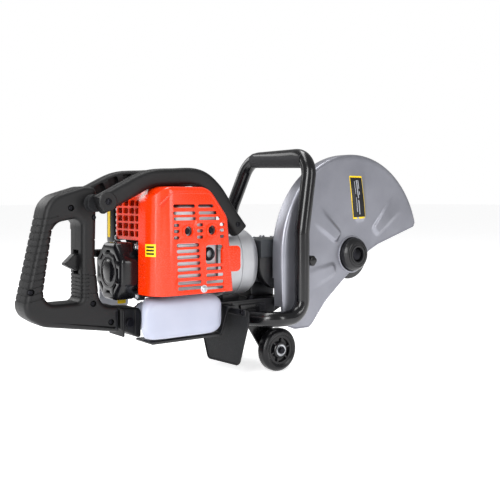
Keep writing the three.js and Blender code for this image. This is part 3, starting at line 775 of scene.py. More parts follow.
hand_over("guard_plate_border", film(PLATE, 0.4), yellow_film, "guard")
hand_over("guard_plate_field", film(PLATE, 0.75, 3.2), black_film, "guard")
marks = [
    bar_on_plate(0.46, 0.54, 0.1, 0.52, 1.0), bar_on_plate(0.46, 0.54, 0.56, 0.9, 1.0),
    bar_on_plate(0.6, 0.66, 0.1, 0.3, 1.0), bar_on_plate(0.6, 0.66, 0.36, 0.44, 1.0),
    bar_on_plate(0.3, 0.34, 0.12, 0.42, 1.0), bar_on_plate(0.3, 0.34, 0.5, 0.84, 1.0),
]
hand_over("guard_plate_marks", joined(*marks), white_film, "guard")

# %% [markdown]
# ## The disc clamp
# A rubber-coated dome covers the outer clamping flange. Fine rings are turned into its face, and the black
# flange itself shows below the guard's edge. The clamping bolt sits deep in the middle.

# %% The disc clamp
flange_face = rounded([(45, -56.3), (45, -70.5), (31, -72.6)], [0, 2.5, 0], closed=False)
dome_line = rounded(
    [(31, -72.6), (29.4, -73.4), (29.4, -86), (24, -92.6), (15, -93.4)],
    [0, 1, 5, 6, 0], closed=False, steps=5,
)
clamp = [(10.4, -56.3)] + [tuple(p) for p in flange_face] + [tuple(p) for p in dome_line[1:]]
for r in (21.6, 17.6):
    spot = next(i for i, p in enumerate(clamp) if p[1] < -90 and p[0] < r)
    s = clamp[spot][1] * 0.5 + clamp[spot - 1][1] * 0.5
    clamp[spot:spot] = [(r + 0.9, s), (r + 0.6, s + 0.9), (r - 0.6, s + 0.9), (r - 0.9, s)]
dome = turned("y", clamp + [(13.2, -93), (12.8, -91), (12.8, -84.2), (10.4, -84.2)], (0, 0, SPINDLE_Z), 96)
hand_over("outer_clamp_flange", dome, satin_powder_coat, "spindle", ["outer_flange"])
bolt = hex_head((0, -84.3, SPINDLE_Z), "-y", 19, 6.4)
hand_over("clamp_bolt", bolt, dark_steel, "spindle", ["spindle_bolt"])

# %% [markdown]
# ## The engine cover
# One thin moulding in gloss orange nylon covers the silencer and the cylinder. Its silencer side is a box
# with generous corner rounds, and a lower hood reaches over the cylinder to the left. Each box is the
# common part of a rounded plan and a rounded side view, made once for the outside and once, smaller, for
# the room inside.

# %% The cover's two boxes
COVER_FRONT, COVER_REAR, COVER_SIDE, COVER_TOP, COVER_BOTTOM = -281, -418, -95, 307.5, 146
COVER_INNER = -44.5
HOOD_REAR, HOOD_LEFT, HOOD_BOTTOM = -410, 46, 226
WALL = 2.5


def cover_side_view(rear, bottom, inset=0.0):
    corners = [
        (rear + inset, bottom), (rear + inset, 289), (rear + 19 + inset, COVER_TOP - inset),
        (-322 - inset * 0.6, COVER_TOP - inset), (COVER_FRONT - 6 - inset, 262), (
            COVER_FRONT + 6 - inset, bottom,
        ),
    ]
    return rounded(corners, [5, 20 - inset, 22 - inset, 30 - inset, 24 - inset, 5], steps=8)


def cover_plan(inset, inner):
    corners = [
        (COVER_FRONT + 9 - inset, inner), (COVER_FRONT + 9 - inset, COVER_SIDE + inset),
        (COVER_REAR + inset, COVER_SIDE + inset), (COVER_REAR + inset, inner),
    ]
    return rounded(corners, [0, 12 - inset, 31 - inset, 0], steps=12)


def silencer_box(inset, bottom, inner):
    """The tall side of the cover: flat faces, with every outer edge rounded over."""
    side = thick([cover_side_view(COVER_REAR, bottom, inset)], COVER_SIDE + inset, inner, 7 - inset)
    whole = common(side, thick([cover_plan(inset, 20)], bottom - 20, COVER_TOP + 20, 0, "xy"))
    return cut(whole, thick([rectangle(-440, -250, inner - 7.5, 60)], bottom - 20, COVER_TOP + 20, 0, "xy"))


def hood_box(inset, near, bottom):
    return thick([cover_side_view(HOOD_REAR, bottom, inset)], near, HOOD_LEFT - inset, 6 - inset)


cover = fused(silencer_box(0, 136, COVER_INNER + 7.5), hood_box(0, COVER_INNER - 12, 216))
room = fused(silencer_box(WALL, 126, COVER_INNER + 9), hood_box(WALL, COVER_INNER - 14, 206))
# The boxes above start low, so that their rounded ends are trimmed square at the cover's open edge.
trim_low = thick([rectangle(-440, -260, -110, 60)], 100, COVER_BOTTOM, 0, "xy")
trim_hood = thick([rectangle(-440, -260, COVER_INNER, 60)], 100, HOOD_BOTTOM, 0, "xy")
front_room = thick([rectangle(-300, -255, COVER_SIDE + 8, 40)], 110, 262, 0, "xy")
intake_room = thick([rectangle(-358, -304, 215, 272, 6)], 38, 52)
cover = cut(cover, room)
cover = cut(cover, trim_low)
cover = cut(cover, trim_hood)
cover = cut(cover, front_room)
cover = cut(cover, intake_room)
print("cover shell:", len(cover.data.polygons), "faces")

# %% [markdown]
# Both faces are cut by rows of cooling slots. The slots have full round ends and follow the slanting split
# of the real grille, so each row is listed with its own ends. Two raised rings surround the holes for the
# silencer screws, and a large window below shows the exhaust.

# %% Cut the cooling slots
SLOT = 5.0


def slot_xz(x0, x1, z_top, height=SLOT):
    return thick(
        [rectangle(x0, x1, z_top - height, z_top, height * 0.45, 4)], COVER_SIDE - 4, COVER_SIDE + 9,
    )


left_ends = [(-388, -349), (-388, -348), (-387, -347)]
right_ends = [(-344, -313), (-343, -307), (-342, -301)]
slots = []
for (a, b), (c, d), top in zip(left_ends, right_ends, (281, 270.5, 262)):
    slots += [slot_xz(a, b, top), slot_xz(c, d - 2, top)]
for top in (252.5, 243.5, 234):
    slots += [slot_xz(-387, -376.5, top), slot_xz(-346, -334, top), slot_xz(-304, -295, top)]
for k, top in enumerate((222.6, 213.7, 204.9, 195.3, 186.4, 176.9, 166.5, 158.4)):
    slots.append(slot_xz(-382 + 0.4 * k, -341 + 0.7 * k, top, 5.4))
for top in (185.6, 175.5, 165, 156):
    slots.append(slot_xz(-329, -296, top))
slots.append(thick([rectangle(-330, -297, 190, 219, 5)], COVER_SIDE - 4, COVER_SIDE + 9))
SILENCER_SCREWS = ((-361, 241), (-318.6, 241.7))
for x, z in SILENCER_SCREWS:
    slots.append(thick([ring((x, z), 7.2, 32)], COVER_SIDE - 4, COVER_SIDE + 9))
hood_slots = []
for row in range(5):
    z = 231 + row * 11.8
    for y0, y1 in ((-37, -20), (-17, -1), (2, 18), (21, 37)):
        hood_slots.append(
            thick([rectangle(y0, y1, z, z + 9, 2.4, 4)], HOOD_REAR - 4, HOOD_REAR + 7, 0, "yz"),
        )
cover = cut(cover, *slots)
cover = cut(cover, *hood_slots)
cover = eased(cover, 0.55, 2, 35)

# %% Raised rings, rim beads and screw bosses
raised = []
for x, z in SILENCER_SCREWS:
    ring_line = [(7.4, -94), (7.4, -96.4), (8.2, -97), (9.6, -97), (10.6, -96.2), (10.6, -94)]
    raised.append(turned("y", ring_line, (x, 0, z), 40))
rim_path = [
    Vector((x, COVER_SIDE + 1.1, z)) for x, z in ((-411, 279), (-389, 298), (-321, 298), (-294, 260))
]
raised.append(tube(rounded(rim_path, 16, closed=False), 1.5, 12))
for k in range(9):
    z = 158 + 4.6 * k
    raised.append(
        thick([rectangle(-66, -49, z, z + 1.3, 0.5)], COVER_REAR - 0.6, COVER_REAR + 1, 0.4, "yz"),
    )
tab = thick([rectangle(-298, -263, 176, 216, 7)], COVER_SIDE + 0.6, COVER_SIDE + 8, 1.6)
hand_over(
    "engine_cover_moulding", joined(cover, *raised, tab), red_nylon, "frame",
    ["engine_cover"],
)

# %% [markdown]
# The cover is held by pan-head screws, and the silencer by two hexagon bolts that sit inside the raised
# rings. A strip of black sheet stands behind the front slots, as a heat shield.

# %% Screws in the cover
cover_screws = [
    pan_head((-333, COVER_SIDE - 0.2, 153), "-y", 8.5, 2.6, 12),
    pan_head((HOOD_REAR - 0.2, 41, 228), "-x", 7, 2.4),
]
can_screws = []
for x, z in SILENCER_SCREWS:
    can_screws.append(hex_head((x, -89, z), "-y", 8, 3.4))
hand_over("engine_cover_screws", joined(*cover_screws), zinc_steel)
hand_over("silencer_screws", joined(*can_screws), dark_steel)

# %% The yellow plate on the cover's rear corner
CORNER_AT = Vector((COVER_REAR + 31, COVER_SIDE + 31))


def wrapped(start, end, lift, low, high, steps=12):
    """A strip of film round the cover's rear corner. low and high give its edges along the way, 0 to 1."""
    loops = []
    for k in range(steps + 1):
        share = k / steps
        turn = math.radians(start + (end - start) * share)
        way = Vector((-math.cos(turn), -math.sin(turn)))
        inner, outer = CORNER_AT + way * 30.9, CORNER_AT + way * (31 + lift)
        z0, z1 = low(share), high(share)
        loops.append(
            [Vector((*inner, z0)), Vector((*outer, z0)), Vector((*outer, z1)), Vector((*inner, z1))],
        )
    return lofted(loops)


plate = wrapped(4, 40, 0.35, lambda s: 204, lambda s: 222.5)
hand_over("cover_plate", plate, yellow_film)
mark_bars = [wrapped(9, 35, 0.6, lambda s, z=z: z, lambda s, z=z: z + 2.6) for z in (207, 212, 217)]
hand_over("cover_plate_bars", joined(*mark_bars), black_film)

# %% The heat shield behind the front slots
heat_shield = thick([rectangle(-301, -284, 160, 256, 3)], -62, -60.5, 0.5)
hand_over("heat_shield", heat_shield, satin_powder_coat)

# %% [markdown]
# ## The silencer
# A pressed can of aluminised steel: two halves crimped along a flange, with a round black outlet behind the
# cover's window. It is drawn as a rounded box with its seam and two pressed beads.

# %% The silencer
can = thick([rectangle(-384, -304, 160, 281, 14)], -89, -45, 6)
seam = thick([rectangle(-386, -302, 158.5, 282.5, 14)], -66, -63, 1)
outlet = turned(
    "y", [(5.6, -85), (5.6, -93), (6.4, -94), (8.3, -94), (8.3, -91.5), (10.5, -90), (10.5, -85)],
    (-321, 0, 205), 40,
)
beads = [
    thick([rectangle(-378, -340, z, z + 5, 2.4)], -90.2, -87, 1.1) for z in (176, 196, 216)
]
hand_over("silencer_can", joined(can, seam, *beads), silencer_steel, "frame", ["silencer"])
hand_over("silencer_outlet", outlet, dark_steel)

# %% [markdown]
# ## Cylinder, crankcase and clutch housing
# These are castings. The cylinder has thin cooling fins with rounded rims. The crankcase is a short drum
# with a wide flange, bolted to the clutch housing, which is a rounded bell with a seam, stiffening ribs and
# four screws.

# %% The cylinder
fins = [thick([rectangle(-370, -303.3, -38, 24, 10)], z, z + 2.6, 0.9, "xy") for z in range(228, 279, 10)]
barrel = turned("z", [(0, 223.3), (30, 223.3), (30, 281), (0, 281)], (-332.5, -4, 0), 48)
hand_over("cylinder_fins", joined(barrel, *fins), cast_aluminium, "frame", ["cylinder"])
plug = [
    turned(
        "x", [(0, -302.7), (6, -302.7), (6, -299), (4.2, -298), (4.2, -292), (0, -291.6)], (0, -8, 264), 32,
    ),
    moved(turned("z", [(0, 0), (7, 0), (7, 7), (5.6, 8), (5.6, 17), (0, 18)], sides=24),
          Matrix.Translation((-296, -8, 264)) @ TURN_TO["+y"]),
]
hand_over("spark_plug_and_cap", joined(*plug), sheet_rubber, "frame", ["spark_plug"])

# %% The crankcase
case = [
    turned("x", [(0, -372), (37, -372), (40, -369), (40, -295), (0, -295)], (0, 0, CRANK_Z), 64),
    turned(
        "x", [(0, -296), (48.5, -296), (50, -294.5), (50, -258.5), (48.5, -257), (0, -257)],
        (0, 0, CRANK_Z), 72,
    ),
    thick([rectangle(-362, -300, -34, 34, 8)], CRANK_Z + 10, 223, 1.5, "xy"),
    thick([rectangle(-372, -262, -38, 38, 8)], 139.5, 151, 1.5, "xy"),
]
for k in range(10):
    angle = math.radians(18 + 36 * k)
    rib = thick([rectangle(-292, -260, 49, 52.4, 1)], -1.6, 1.6, 0.6)
    case.append(moved(rib, Matrix.Translation((0, 0, CRANK_Z)) @ Matrix.Rotation(angle, 4, "X")))
hand_over("crankcase_casting", joined(*case), cast_aluminium, "frame", ["crankcase"])

# %% The clutch housing
HOUSING_Z = CRANK_Z + 5
bell_line = rounded(
    [(0, -257), (44, -257), (54, -257), (55, -204), (47, -191), (27, -187), (0, -187)], [
        0, 0, 4, 12, 10, 4, 0,
    ],
    closed=False, steps=5,
)


def squarish(r, s, t):
    """A turned section pulled out a little towards its four corners, as the casting is."""
    fade = smooth((r - 30) / 20)
    return r * (1 + 0.085 * fade * (abs(math.sin(2 * t)) ** 3) + 0.05 * fade * math.sin(t) ** 6)


bell = turned("x", [tuple(p) for p in bell_line], (0, 0, HOUSING_Z), 96, squarish)
parts = [bell]
for s, r in ((-228.5, 55.5), (-255, 56)):
    bead = [(r - 3, s - 1.2), (r, s - 0.8), (r, s + 0.8), (r - 3, s + 1.2)]
    parts.append(turned("x", bead, (0, 0, HOUSING_Z), 96, squarish))
for k in range(4):
    angle = math.radians(45 + 90 * k)
    boss = turned("x", [(0, -254), (6, -254), (6.6, -252), (6.6, -212), (4, -206), (0, -206)], sides=24)
    parts.append(
        moved(boss, Matrix.Translation((0, 51 * math.cos(angle), HOUSING_Z + 51 * math.sin(angle)))),
    )
for k in range(8):
    rib = thick([rounded([(-204, 30), (-204, 53), (-196, 50), (-187, 31)], 1.5)], -1.5, 1.5, 0.5)
    turn = Matrix.Rotation(math.radians(22.5 + 45 * k), 4, "X")
    parts.append(moved(rib, Matrix.Translation((0, 0, HOUSING_Z)) @ turn))
for y0, y1 in ((-39.7, -33), (33, 39.7)):
    parts.append(thick([rectangle(-252, -230, 214, 244, 8)], y0, y1, 1.2))
hand_over(
    "clutch_bell_housing", joined(*parts), cast_aluminium, "frame", ["clutch_housing"],
)
housing_screws = []
for k in range(4):
    angle = math.radians(45 + 90 * k)
    spot = (-206, 51 * math.cos(angle), HOUSING_Z + 51 * math.sin(angle))
    housing_screws.append(hex_head(spot, "+x", 8, 4))
for y, facing in ((-39.7, "-y"), (39.7, "+y")):
    housing_screws.append(hex_head((-241, y, 236), facing, 9, 4))
hand_over("clutch_housing_bolts", joined(*housing_screws), zinc_steel)

# %% [markdown]
# ## The bevel gearbox
# The gearbox is a dark coated casting: a rounded box with a bearing boss on each face, a flat cover plate
# on top with four screws, and a lighter machined block between it and the guard.

# %% The gearbox
gearbox = [
    thick([rectangle(-186, -104, 146, 216, 14)], -24, 34, 4),
    turned("x", [(0, -189), (24, -189), (25, -188), (25, -180), (0, -180)], (0, 0, CRANK_Z), 48),
    turned("y", [(0, 30), (22, 30), (22, 37), (19, 39), (0, 39)], (-140, 0, CRANK_Z), 48),
]
for x in (-170, -145, -120):
    gearbox.append(thick([rectangle(x - 2, x + 2, 150, 212, 1.5)], -26, 36, 1))
hand_over("gearbox_casting", joined(*gearbox), dark_casting, "frame", ["gearbox_housing"])
block = thick([rectangle(-184, -118, -22, 30, 5)], 206, 221, 1.4, "xy")
arm_cap = thick([rectangle(-184, -137, 190, 220.6, 3)], -45.3, -18, 1.2)
hand_over("gearbox_top_block", joined(block, arm_cap), dark_casting)
block_bolts = [hex_head((x, y, 220.8), "+z", 9, 3.2) for x in (-173, -129) for y in (-8, 22)]
hand_over("gearbox_bolts", joined(*block_bolts), zinc_steel)

# %% [markdown]
# ## Fan housing and pull starter
# The fan housing is a black ring behind the engine. The starter is an eight-sided pod in polished nylon
# with a stepped rim and a dished middle. Cooling air enters between its spokes, so those gaps are cut right
# through the thin front wall.

# %% The fan housing
fan_line = [
    (30, -408), (42, -408), (43.5, -406.4), (43.5, -374.5), (42, -372.6), (40.5, -372.6), (40.5, -404.5),
    (30, -405),
]
fan_ring = turned("x", fan_line, (0, 0, CRANK_Z), 72)
parts = [fan_ring]
for k in range(8):
    lug = thick([rectangle(-406, -376, 42, 45.4, 1)], -2.4, 2.4, 0.8)
    turn = Matrix.Rotation(math.radians(22.5 + 45 * k), 4, "X")
    parts.append(moved(lug, Matrix.Translation((0, 0, CRANK_Z)) @ turn))
hand_over("fan_housing_ring", joined(*parts), black_nylon, "frame", ["fan_housing"])

# %% The starter pod
def octagon(radius, corner):
    return rounded([tuple(p) for p in ring((0, CRANK_Z), radius / math.cos(math.pi / 8), 8, 0.5)], corner)


pod = thick([octagon(43.4, 9)], -445, -408.3, 6, "yz")
pod = cut(pod, rod("x", 36.5, -441.5, -400, (0, CRANK_Z), 1, 64))
openings = []
for k in range(8):
    turn = Matrix.Translation((0, 0, CRANK_Z)) @ Matrix.Rotation(math.radians(45 * k), 4, "X")
    gap = thick([rounded([(-6, 29), (6, 29), (6.4, 32.4), (-6.4, 32.4)], 1.6)], -450, -436, 0, "yz")
    openings.append(moved(gap, turn))
eyelet_hole = rod("y", 4.2, 30, 50, (-430, 203), 0, 32)
pod = cut(pod, *openings)
pod = eased(cut(pod, eyelet_hole), 0.7, 2, 35)
rib_ring = turned("x", [(22, -444.6), (22.4, -445.8), (25.6, -445.8), (26, -444.6)], (0, 0, CRANK_Z), 64)
hub = turned("x", [(0, -444), (0, -448), (12, -447.4), (17, -446), (19, -444)], (0, 0, CRANK_Z), 64)
eyelet = turned("y", [(2.4, 40), (2.4, 46), (4.6, 46), (6, 44.6), (6, 42), (4, 41)], (-430, 0, 203), 32)
hand_over(
    "starter_pod", joined(pod, rib_ring, hub, eyelet), gloss_nylon, "frame",
    ["starter_cover"],
)
pod_screws = []
pod_lugs = []
for y, z in ((-37, 216.5), (-37, 142.5), (37, 216.5), (37, 142.5)):
    pod_lugs.append(turned("x", [(0, -416), (6, -416), (7, -415), (7, -406), (0, -406)], (0, y, z), 32))
    pod_screws.append(hex_head((-416, y, z), "-x", 7.5, 4))
hand_over("starter_pod_lugs", joined(*pod_lugs), black_nylon)
hand_over("starter_pod_screws", joined(*pod_screws), zinc_steel)

# %% [markdown]
# The reel turns behind the pod when the grip is pulled. It is a grooved pulley with the rope wound in it.
# The free rope runs from the eyelet to the grip.

# %% Reel, rope and grip
reel_line = [
    (8.3, -439), (28.6, -439), (30, -438), (30, -436.4), (24, -435), (24, -425), (30, -423.6), (30, -421), (
        28.6, -420,
    ),
    (8.3, -420),
]
hand_over(
    "starter_reel_pulley", turned("x", reel_line, (0, 0, CRANK_Z), 64), black_nylon,
    "starter_drum", ["starter_reel"],
)
turns = [
    turned(
        "x", [(24, s - 1.4), (25.8, s - 1.4), (27, s), (25.8, s + 1.4), (24, s + 1.4)], (0, 0, CRANK_Z), 48,
    )
    for s in (-433, -430, -427)
]
hand_over("rope_on_reel", joined(*turns), rope_fibre, "starter_drum")
grip_body = thick([rectangle(-446, -414, 197, 209, 5.5)], 46.3, 64, 3.4)
collar = turned("y", [(2.2, 46.3), (5.4, 46.3), (4.4, 51), (2.2, 51)], (-430, 0, 203), 32)
hand_over(
    "starter_pull_grip", joined(grip_body, collar), black_nylon, "pull_handle",
    ["starter_grip"],
)

# %% [markdown]
# ## Carburettor and air filter
# On the left the intake runs straight out through the cover: carburettor, filter plate, foam and a rounded
# filter cover. The carburettor is a small die casting with a round throat, a diaphragm cover with four
# screws, and an idle screw. The rubber primer bulb below it is squeezed to fill it with fuel.

# %% The carburettor
carburettor = [
    thick([rectangle(-352, -310, 228, 266, 5)], 33, 66, 2),
    thick([rectangle(-350, -312, 234, 260, 4)], 24.5, 36, 1),
    turned("y", [(10, 60), (14, 60), (14, 72), (10, 72)], (-331, 0, 247), 40),
    turned("x", [(0, -356), (8, -356), (9, -355), (9, -351), (0, -351)], (0, 50, 247), 32),
]
pump_cover = thick([rectangle(-350, -312, 35, 64, 4)], 264, 270, 1, "xy")
hand_over(
    "carburettor_casting", joined(*carburettor, pump_cover), cast_aluminium, "frame",
    ["carburettor"],
)
pump_screws = [pan_head((x, y, 270), "+z", 6, 2) for x in (-345, -317) for y in (40, 59)]
hand_over("carburettor_screws", joined(*pump_screws), zinc_steel)
bulb_line = [(0, 214), (4, 214.4), (7, 216.6), (8, 220), (8, 226.4), (7.6, 228.4), (0, 228.4)]
hand_over(
    "primer_bulb_rubber", turned("z", bulb_line, (-331, 54, 0), 40), sleeve_rubber, "primer",
    ["primer_bulb"],
)
hub = turned("y", [(0, 73), (5.2, 73), (5.2, 77.4), (4.6, 78), (0, 78)], (-306, 0, 262), 32)
blade = thick(
    [rounded([(-308.5, 262), (-303.5, 262), (-302.6, 281), (-304, 285), (-308, 285), (-309.4, 281)], 2)],
    73.8, 77.2, 0.8,
)
hand_over(
    "choke_lever_moulding", joined(hub, blade), red_nylon, "choke", ["choke_lever"],
)

# %% The air filter
filter_plate = cut(
    thick([rectangle(-378, -302, 214, 290, 10)], 66.3, 72, 1.2), rod("y", 15, 60, 80, (-331, 247), 0, 48)
)
hand_over("air_filter_plate", filter_plate, black_nylon, "frame", ["air_filter_base"])
foam_line = rounded([(16, 72.3), (24, 72.3), (24, 88), (16, 88)], 1.5, steps=3)
foam = turned("y", [tuple(p) for p in foam_line], (-340, 0, 250), 64)
for vertex in foam.data.vertices:
    vertex.co += noise.noise_vector(vertex.co * 0.4) * 0.35
hand_over("air_filter_foam_ring", foam, rope_fibre, "frame", ["air_filter_foam"])
lid = thick([rectangle(-398, -312, 204, 294, 18)], 72.3, 103, 7)
lid = cut(lid, thick([rectangle(-394.5, -315.5, 207.5, 290.5, 15)], 70, 99.5, 4))
louvres = [thick([rectangle(-384, -346, z, z + 4, 1.8)], 96, 106) for z in range(216, 284, 9)]
lid = eased(cut(lid, *louvres), 0.5, 2, 35)
knob = turned("y", [(0, 100), (9, 100), (10, 102), (9.4, 106), (7, 108), (0, 108.4)], (-328, 0, 250), 48)
hand_over(
    "air_filter_lid", joined(lid, knob), gloss_nylon, "frame", ["air_filter_cover"],
)

# %% [markdown]
# ## The fuel tank
# A blow-moulded tank has no sharp edge anywhere, because the plastic bubble can't reach one. Its two lobes
# are rounded boxes fused together and then smoothed as one skin by a fine remesh. A pinch line runs round
# it where the two mould halves met.

# %% The fuel tank
def soft_lobe(x0, x1, y0, y1, z0, z1, corner, edge):
    return thick([rectangle(x0, x1, z0, z1, corner)], y0, y1, edge)


LOBE_PLAN = [(-279, -24), (-279, -78), (-425, -78), (-425, -64), (-403, -38), (-403, -24)]
lobe = common(
    thick([rectangle(-427.5, -278, 78.5, 140, 26)], -79, -24, 14, grow=0.6),
    thick([rounded(LOBE_PLAN, [0, 20, 14, 18, 12, 0])], 60, 160, 0, "xy"),
)
left_lobe = soft_lobe(-396, -300, -50, 19.6, 79, 128.7, 20, 12)
tank = fused(lobe, left_lobe)
tank = with_modifier(tank, "REMESH", mode="VOXEL", voxel_size=2.2)
tank = with_modifier(tank, "SMOOTH", factor=0.7, iterations=36)
for vertex in tank.data.vertices:
    seam = math.exp(-(((vertex.co.y + 50) / 1.6) ** 2))
    outward = vertex.normal * 0.9 * seam
    vertex.co += outward + vertex.normal * 0.35 * noise.noise(vertex.co * 0.035)
hand_over("fuel_tank_moulding", tank, tank_plastic, "frame", ["fuel_tank"])

# %% The fuel cap
CAP_AT = (-368, 0, 104)


def fluted(r, s, t):
    return r - (0.9 * (0.5 + 0.5 * math.cos(18 * t)) if r > 19 else 0)


cap_line = [
    (0, 14), (14, 14), (14, 20.4), (19.4, 20.4), (20, 21.2), (20, 30), (19.2, 31.4), (17.5, 32), (0, 32),
]
grip_bar = thick([rectangle(-381, -355, 101, 107, 2.6)], 31, 34.6, 1.2)
cap = joined(turned("y", cap_line, CAP_AT, 144, fluted), grip_bar)
hand_over("fuel_cap_moulding", cap, black_nylon, "tank_cap", ["fuel_cap"])

# %% [markdown]
# ## Chassis, skid and flap
# The chassis is folded 4 mm steel plate: a top plate with two cheeks, a pad under the clutch housing and a
# pedestal under the gearbox, joined by hexagon bolts. A strap of the same steel runs under the tank. The
# flap that stops the spray is cut from stiff rubber sheet and hangs from a clamp bar.

# %% The chassis
CHEEK = [(-240, 118), (-240, 76), (-196, 76), (-128, 106), (-128, 118)]
cheeks = []
for y0, y1 in ((-40, -36), (50, 54)):
    plate = thick([rounded(CHEEK, [2, 8, 10, 6, 2])], y0, y1, 0.8)
    cheeks.append(plate)
top_plate = thick([rectangle(-278.5, -128, -40, 54, 5)], 116.6, 120.6, 0.8, "xy")
pad = thick([rectangle(-242, -206, -14, 14, 3)], 119, 130.9, 1, "xy")
pedestal = thick([rectangle(-182, -130, -14, 26, 3)], 119, 147, 1, "xy")
welds = [tube([Vector((-236, y, 116.4)), Vector((-132, y, 116.4))], 1.8, 12) for y in (-35.6, 49.6)]
chassis = joined(top_plate, pad, pedestal, *cheeks, *welds)
hand_over("chassis_plates", chassis, satin_powder_coat, "frame", ["chassis"])
SKID = [
    (-402, 70), (-274, 70), (-259, 112.3), (-245, 112.3), (-245, 116.3), (-262, 116.3), (-276.5, 74),
    (-402, 74),
]
skid = thick([rounded(SKID, [1.6, 6, 5, 1, 1, 3, 3, 1.6])], -58, -8, 0.6)
hand_over("tank_skid_strap", skid, satin_powder_coat, "frame", ["tank_skid"])
chassis_bolts = [
    hex_head((x, y, 120.4), "+z", 10, 5) for x, y in ((-268, -28), (-268, 42), (-196, -30), (-196, 42))
]
chassis_bolts += [hex_head((x, -40, z), "-y", 10, 5) for x, z in ((-226, 86), (-148, 111))]
chassis_bolts += [hex_head((x, 54, z), "+y", 10, 5) for x, z in ((-226, 86), (-148, 111))]
hand_over("chassis_bolts", joined(*chassis_bolts), dark_steel)

# %% The debris flap
FLAP = [(-97, 112), (-97, 92), (-72, 22), (14, 20), (30, 60), (40, 112)]
flap = thick([rounded(FLAP, [4, 14, 9, 9, 20, 4])], -251, -248, 0.5, "yz")
rim_line = rounded([Vector(p) for p in FLAP[1:5]], [0, 9, 9, 0], closed=False)
rim = tube([Vector((-251.2, y, z)) for y, z in rim_line], 1.1, 8)
clamp_bar = thick([rectangle(-94, 38, 103, 113, 2)], -254, -251, 0.7, "yz")
hand_over("debris_flap_sheet", joined(flap, rim), sheet_rubber, "frame", ["debris_flap"])
hand_over("flap_clamp_bar", clamp_bar, satin_powder_coat)
flap_screws = [pan_head((-254, y, 108), "-x", 8, 2.6, 11) for y in (-84, -28, 28)]
hand_over("flap_screws", joined(*flap_screws), dark_steel)

# %% [markdown]
# ## Wheels
# Each wheel is a black polyurethane tyre cast round a ribbed nylon core, with a steel bearing in the
# middle. The tyre's shoulders are well rounded and a shallow groove runs where it meets the core. It turns
# on a bolt held by a steel strut.

# %% The wheels
WHEEL_AT = (-163, 36)
CHASSIS_FACE = {"right": -40, "left": 54}
for side, sign, mid in (("right", -1, -62), ("left", 1, 80)):
    body = f"{side}_wheel"
    centre = (WHEEL_AT[0], mid, WHEEL_AT[1])
    tread = rounded(
        [(24.2, -9.6), (30, -12.3), (36, -6.5), (36, 6.5), (30, 12.3), (24.2, 9.6)], [0.6, 4, 7, 7, 4, 0.6],
    )
    tyre = turned("y", [tuple(p) for p in tread], centre, 96)
    hand_over(f"wheel_tyre_cast_{side}", tyre, wheel_rubber, body, [f"wheel_tyre_{side}"])
    core_line = [
        (9.4, -10.8), (12.6, -10.8), (13.4, -9.8), (13.4, -5), (20.4, -5), (20.4, -9), (23.9, -9.4), (
            23.9, 9.4,
        ),
        (20.4, 9), (20.4, 5), (13.4, 5), (13.4, 9.8), (12.6, 10.8), (9.4, 10.8),
    ]
    core = [turned("y", core_line, centre, 72)]
    for k in range(6):
        spoke = thick([rectangle(-1.6, 1.6, 12.6, 21.2, 0.6)], -8.6, 8.6, 0.6)
        core.append(
            moved(spoke, Matrix.Translation(centre) @ Matrix.Rotation(math.radians(60 * k + 15), 4, "Y")),
        )
    hand_over(
        f"wheel_core_moulded_{side}", joined(*core), gloss_nylon, body,
        [f"wheel_core_{side}"],
    )
    bearing = []
    for face in (-1, 1):
        outer = [
            (7.6, 9.2 * face), (9.8, 9.2 * face), (9.8, 11.4 * face), (9, 11.9 * face), (7.6, 11.6 * face),
        ]
        shield = [(4.6, 8.9 * face), (7.8, 8.9 * face), (7.8, 11 * face), (4.6, 11 * face)]
        bearing += [turned("y", outer, centre, 48), turned("y", shield, centre, 48)]
    hand_over(f"wheel_bearing_{side}", joined(*bearing), zinc_steel, body)
    face = CHASSIS_FACE[side] + sign * 0.3
    outline = rounded(
        [(-228, 114), (-214, 82), (-179.5, 30), (-163, 17), (-147, 36), (-152, 56), (-174, 114)],
        [3, 20, 12, 14, 14, 12, 3],
    )
    strut = cut(
        thick([outline], min(face, face + sign * 4), max(face, face + sign * 4), 0.8),
        rod("y", 5, face - 6, face + 6, WHEEL_AT, 0, 32),
    )
    hand_over(
        f"wheel_strut_plate_{side}", strut, black_powder_coat, "frame",
        [f"wheel_strut_{side}"],
    )
    out = mid + sign * 11.4
    shank = rod("y", 4, min(out, face - sign * 6), max(out, face - sign * 6), WHEEL_AT, 0.5)
    inner = mid - sign * 11.4
    collar = rod("y", 8, min(inner, face + sign * 4), max(inner, face + sign * 4), WHEEL_AT, 0.6)
    head = hex_head((WHEEL_AT[0], out, WHEEL_AT[1]), "-y" if sign < 0 else "+y", 10, 4.4)
    hand_over(
        f"wheel_bolt_{side}", joined(shank, collar, head), dark_steel, "frame",
        [f"wheel_axle_{side}"],
    )

# %% [markdown]
# ## The front handle
# One steel tube of 25 mm is bent into the whole front handle. It starts flattened at the chassis, runs out
# to the side, rises past the guard, leans forward, crosses over and comes down the far side. The path is a
# list of corners with a true bend radius, as on a tube bender. A rubber sleeve is drawn over the top bar.

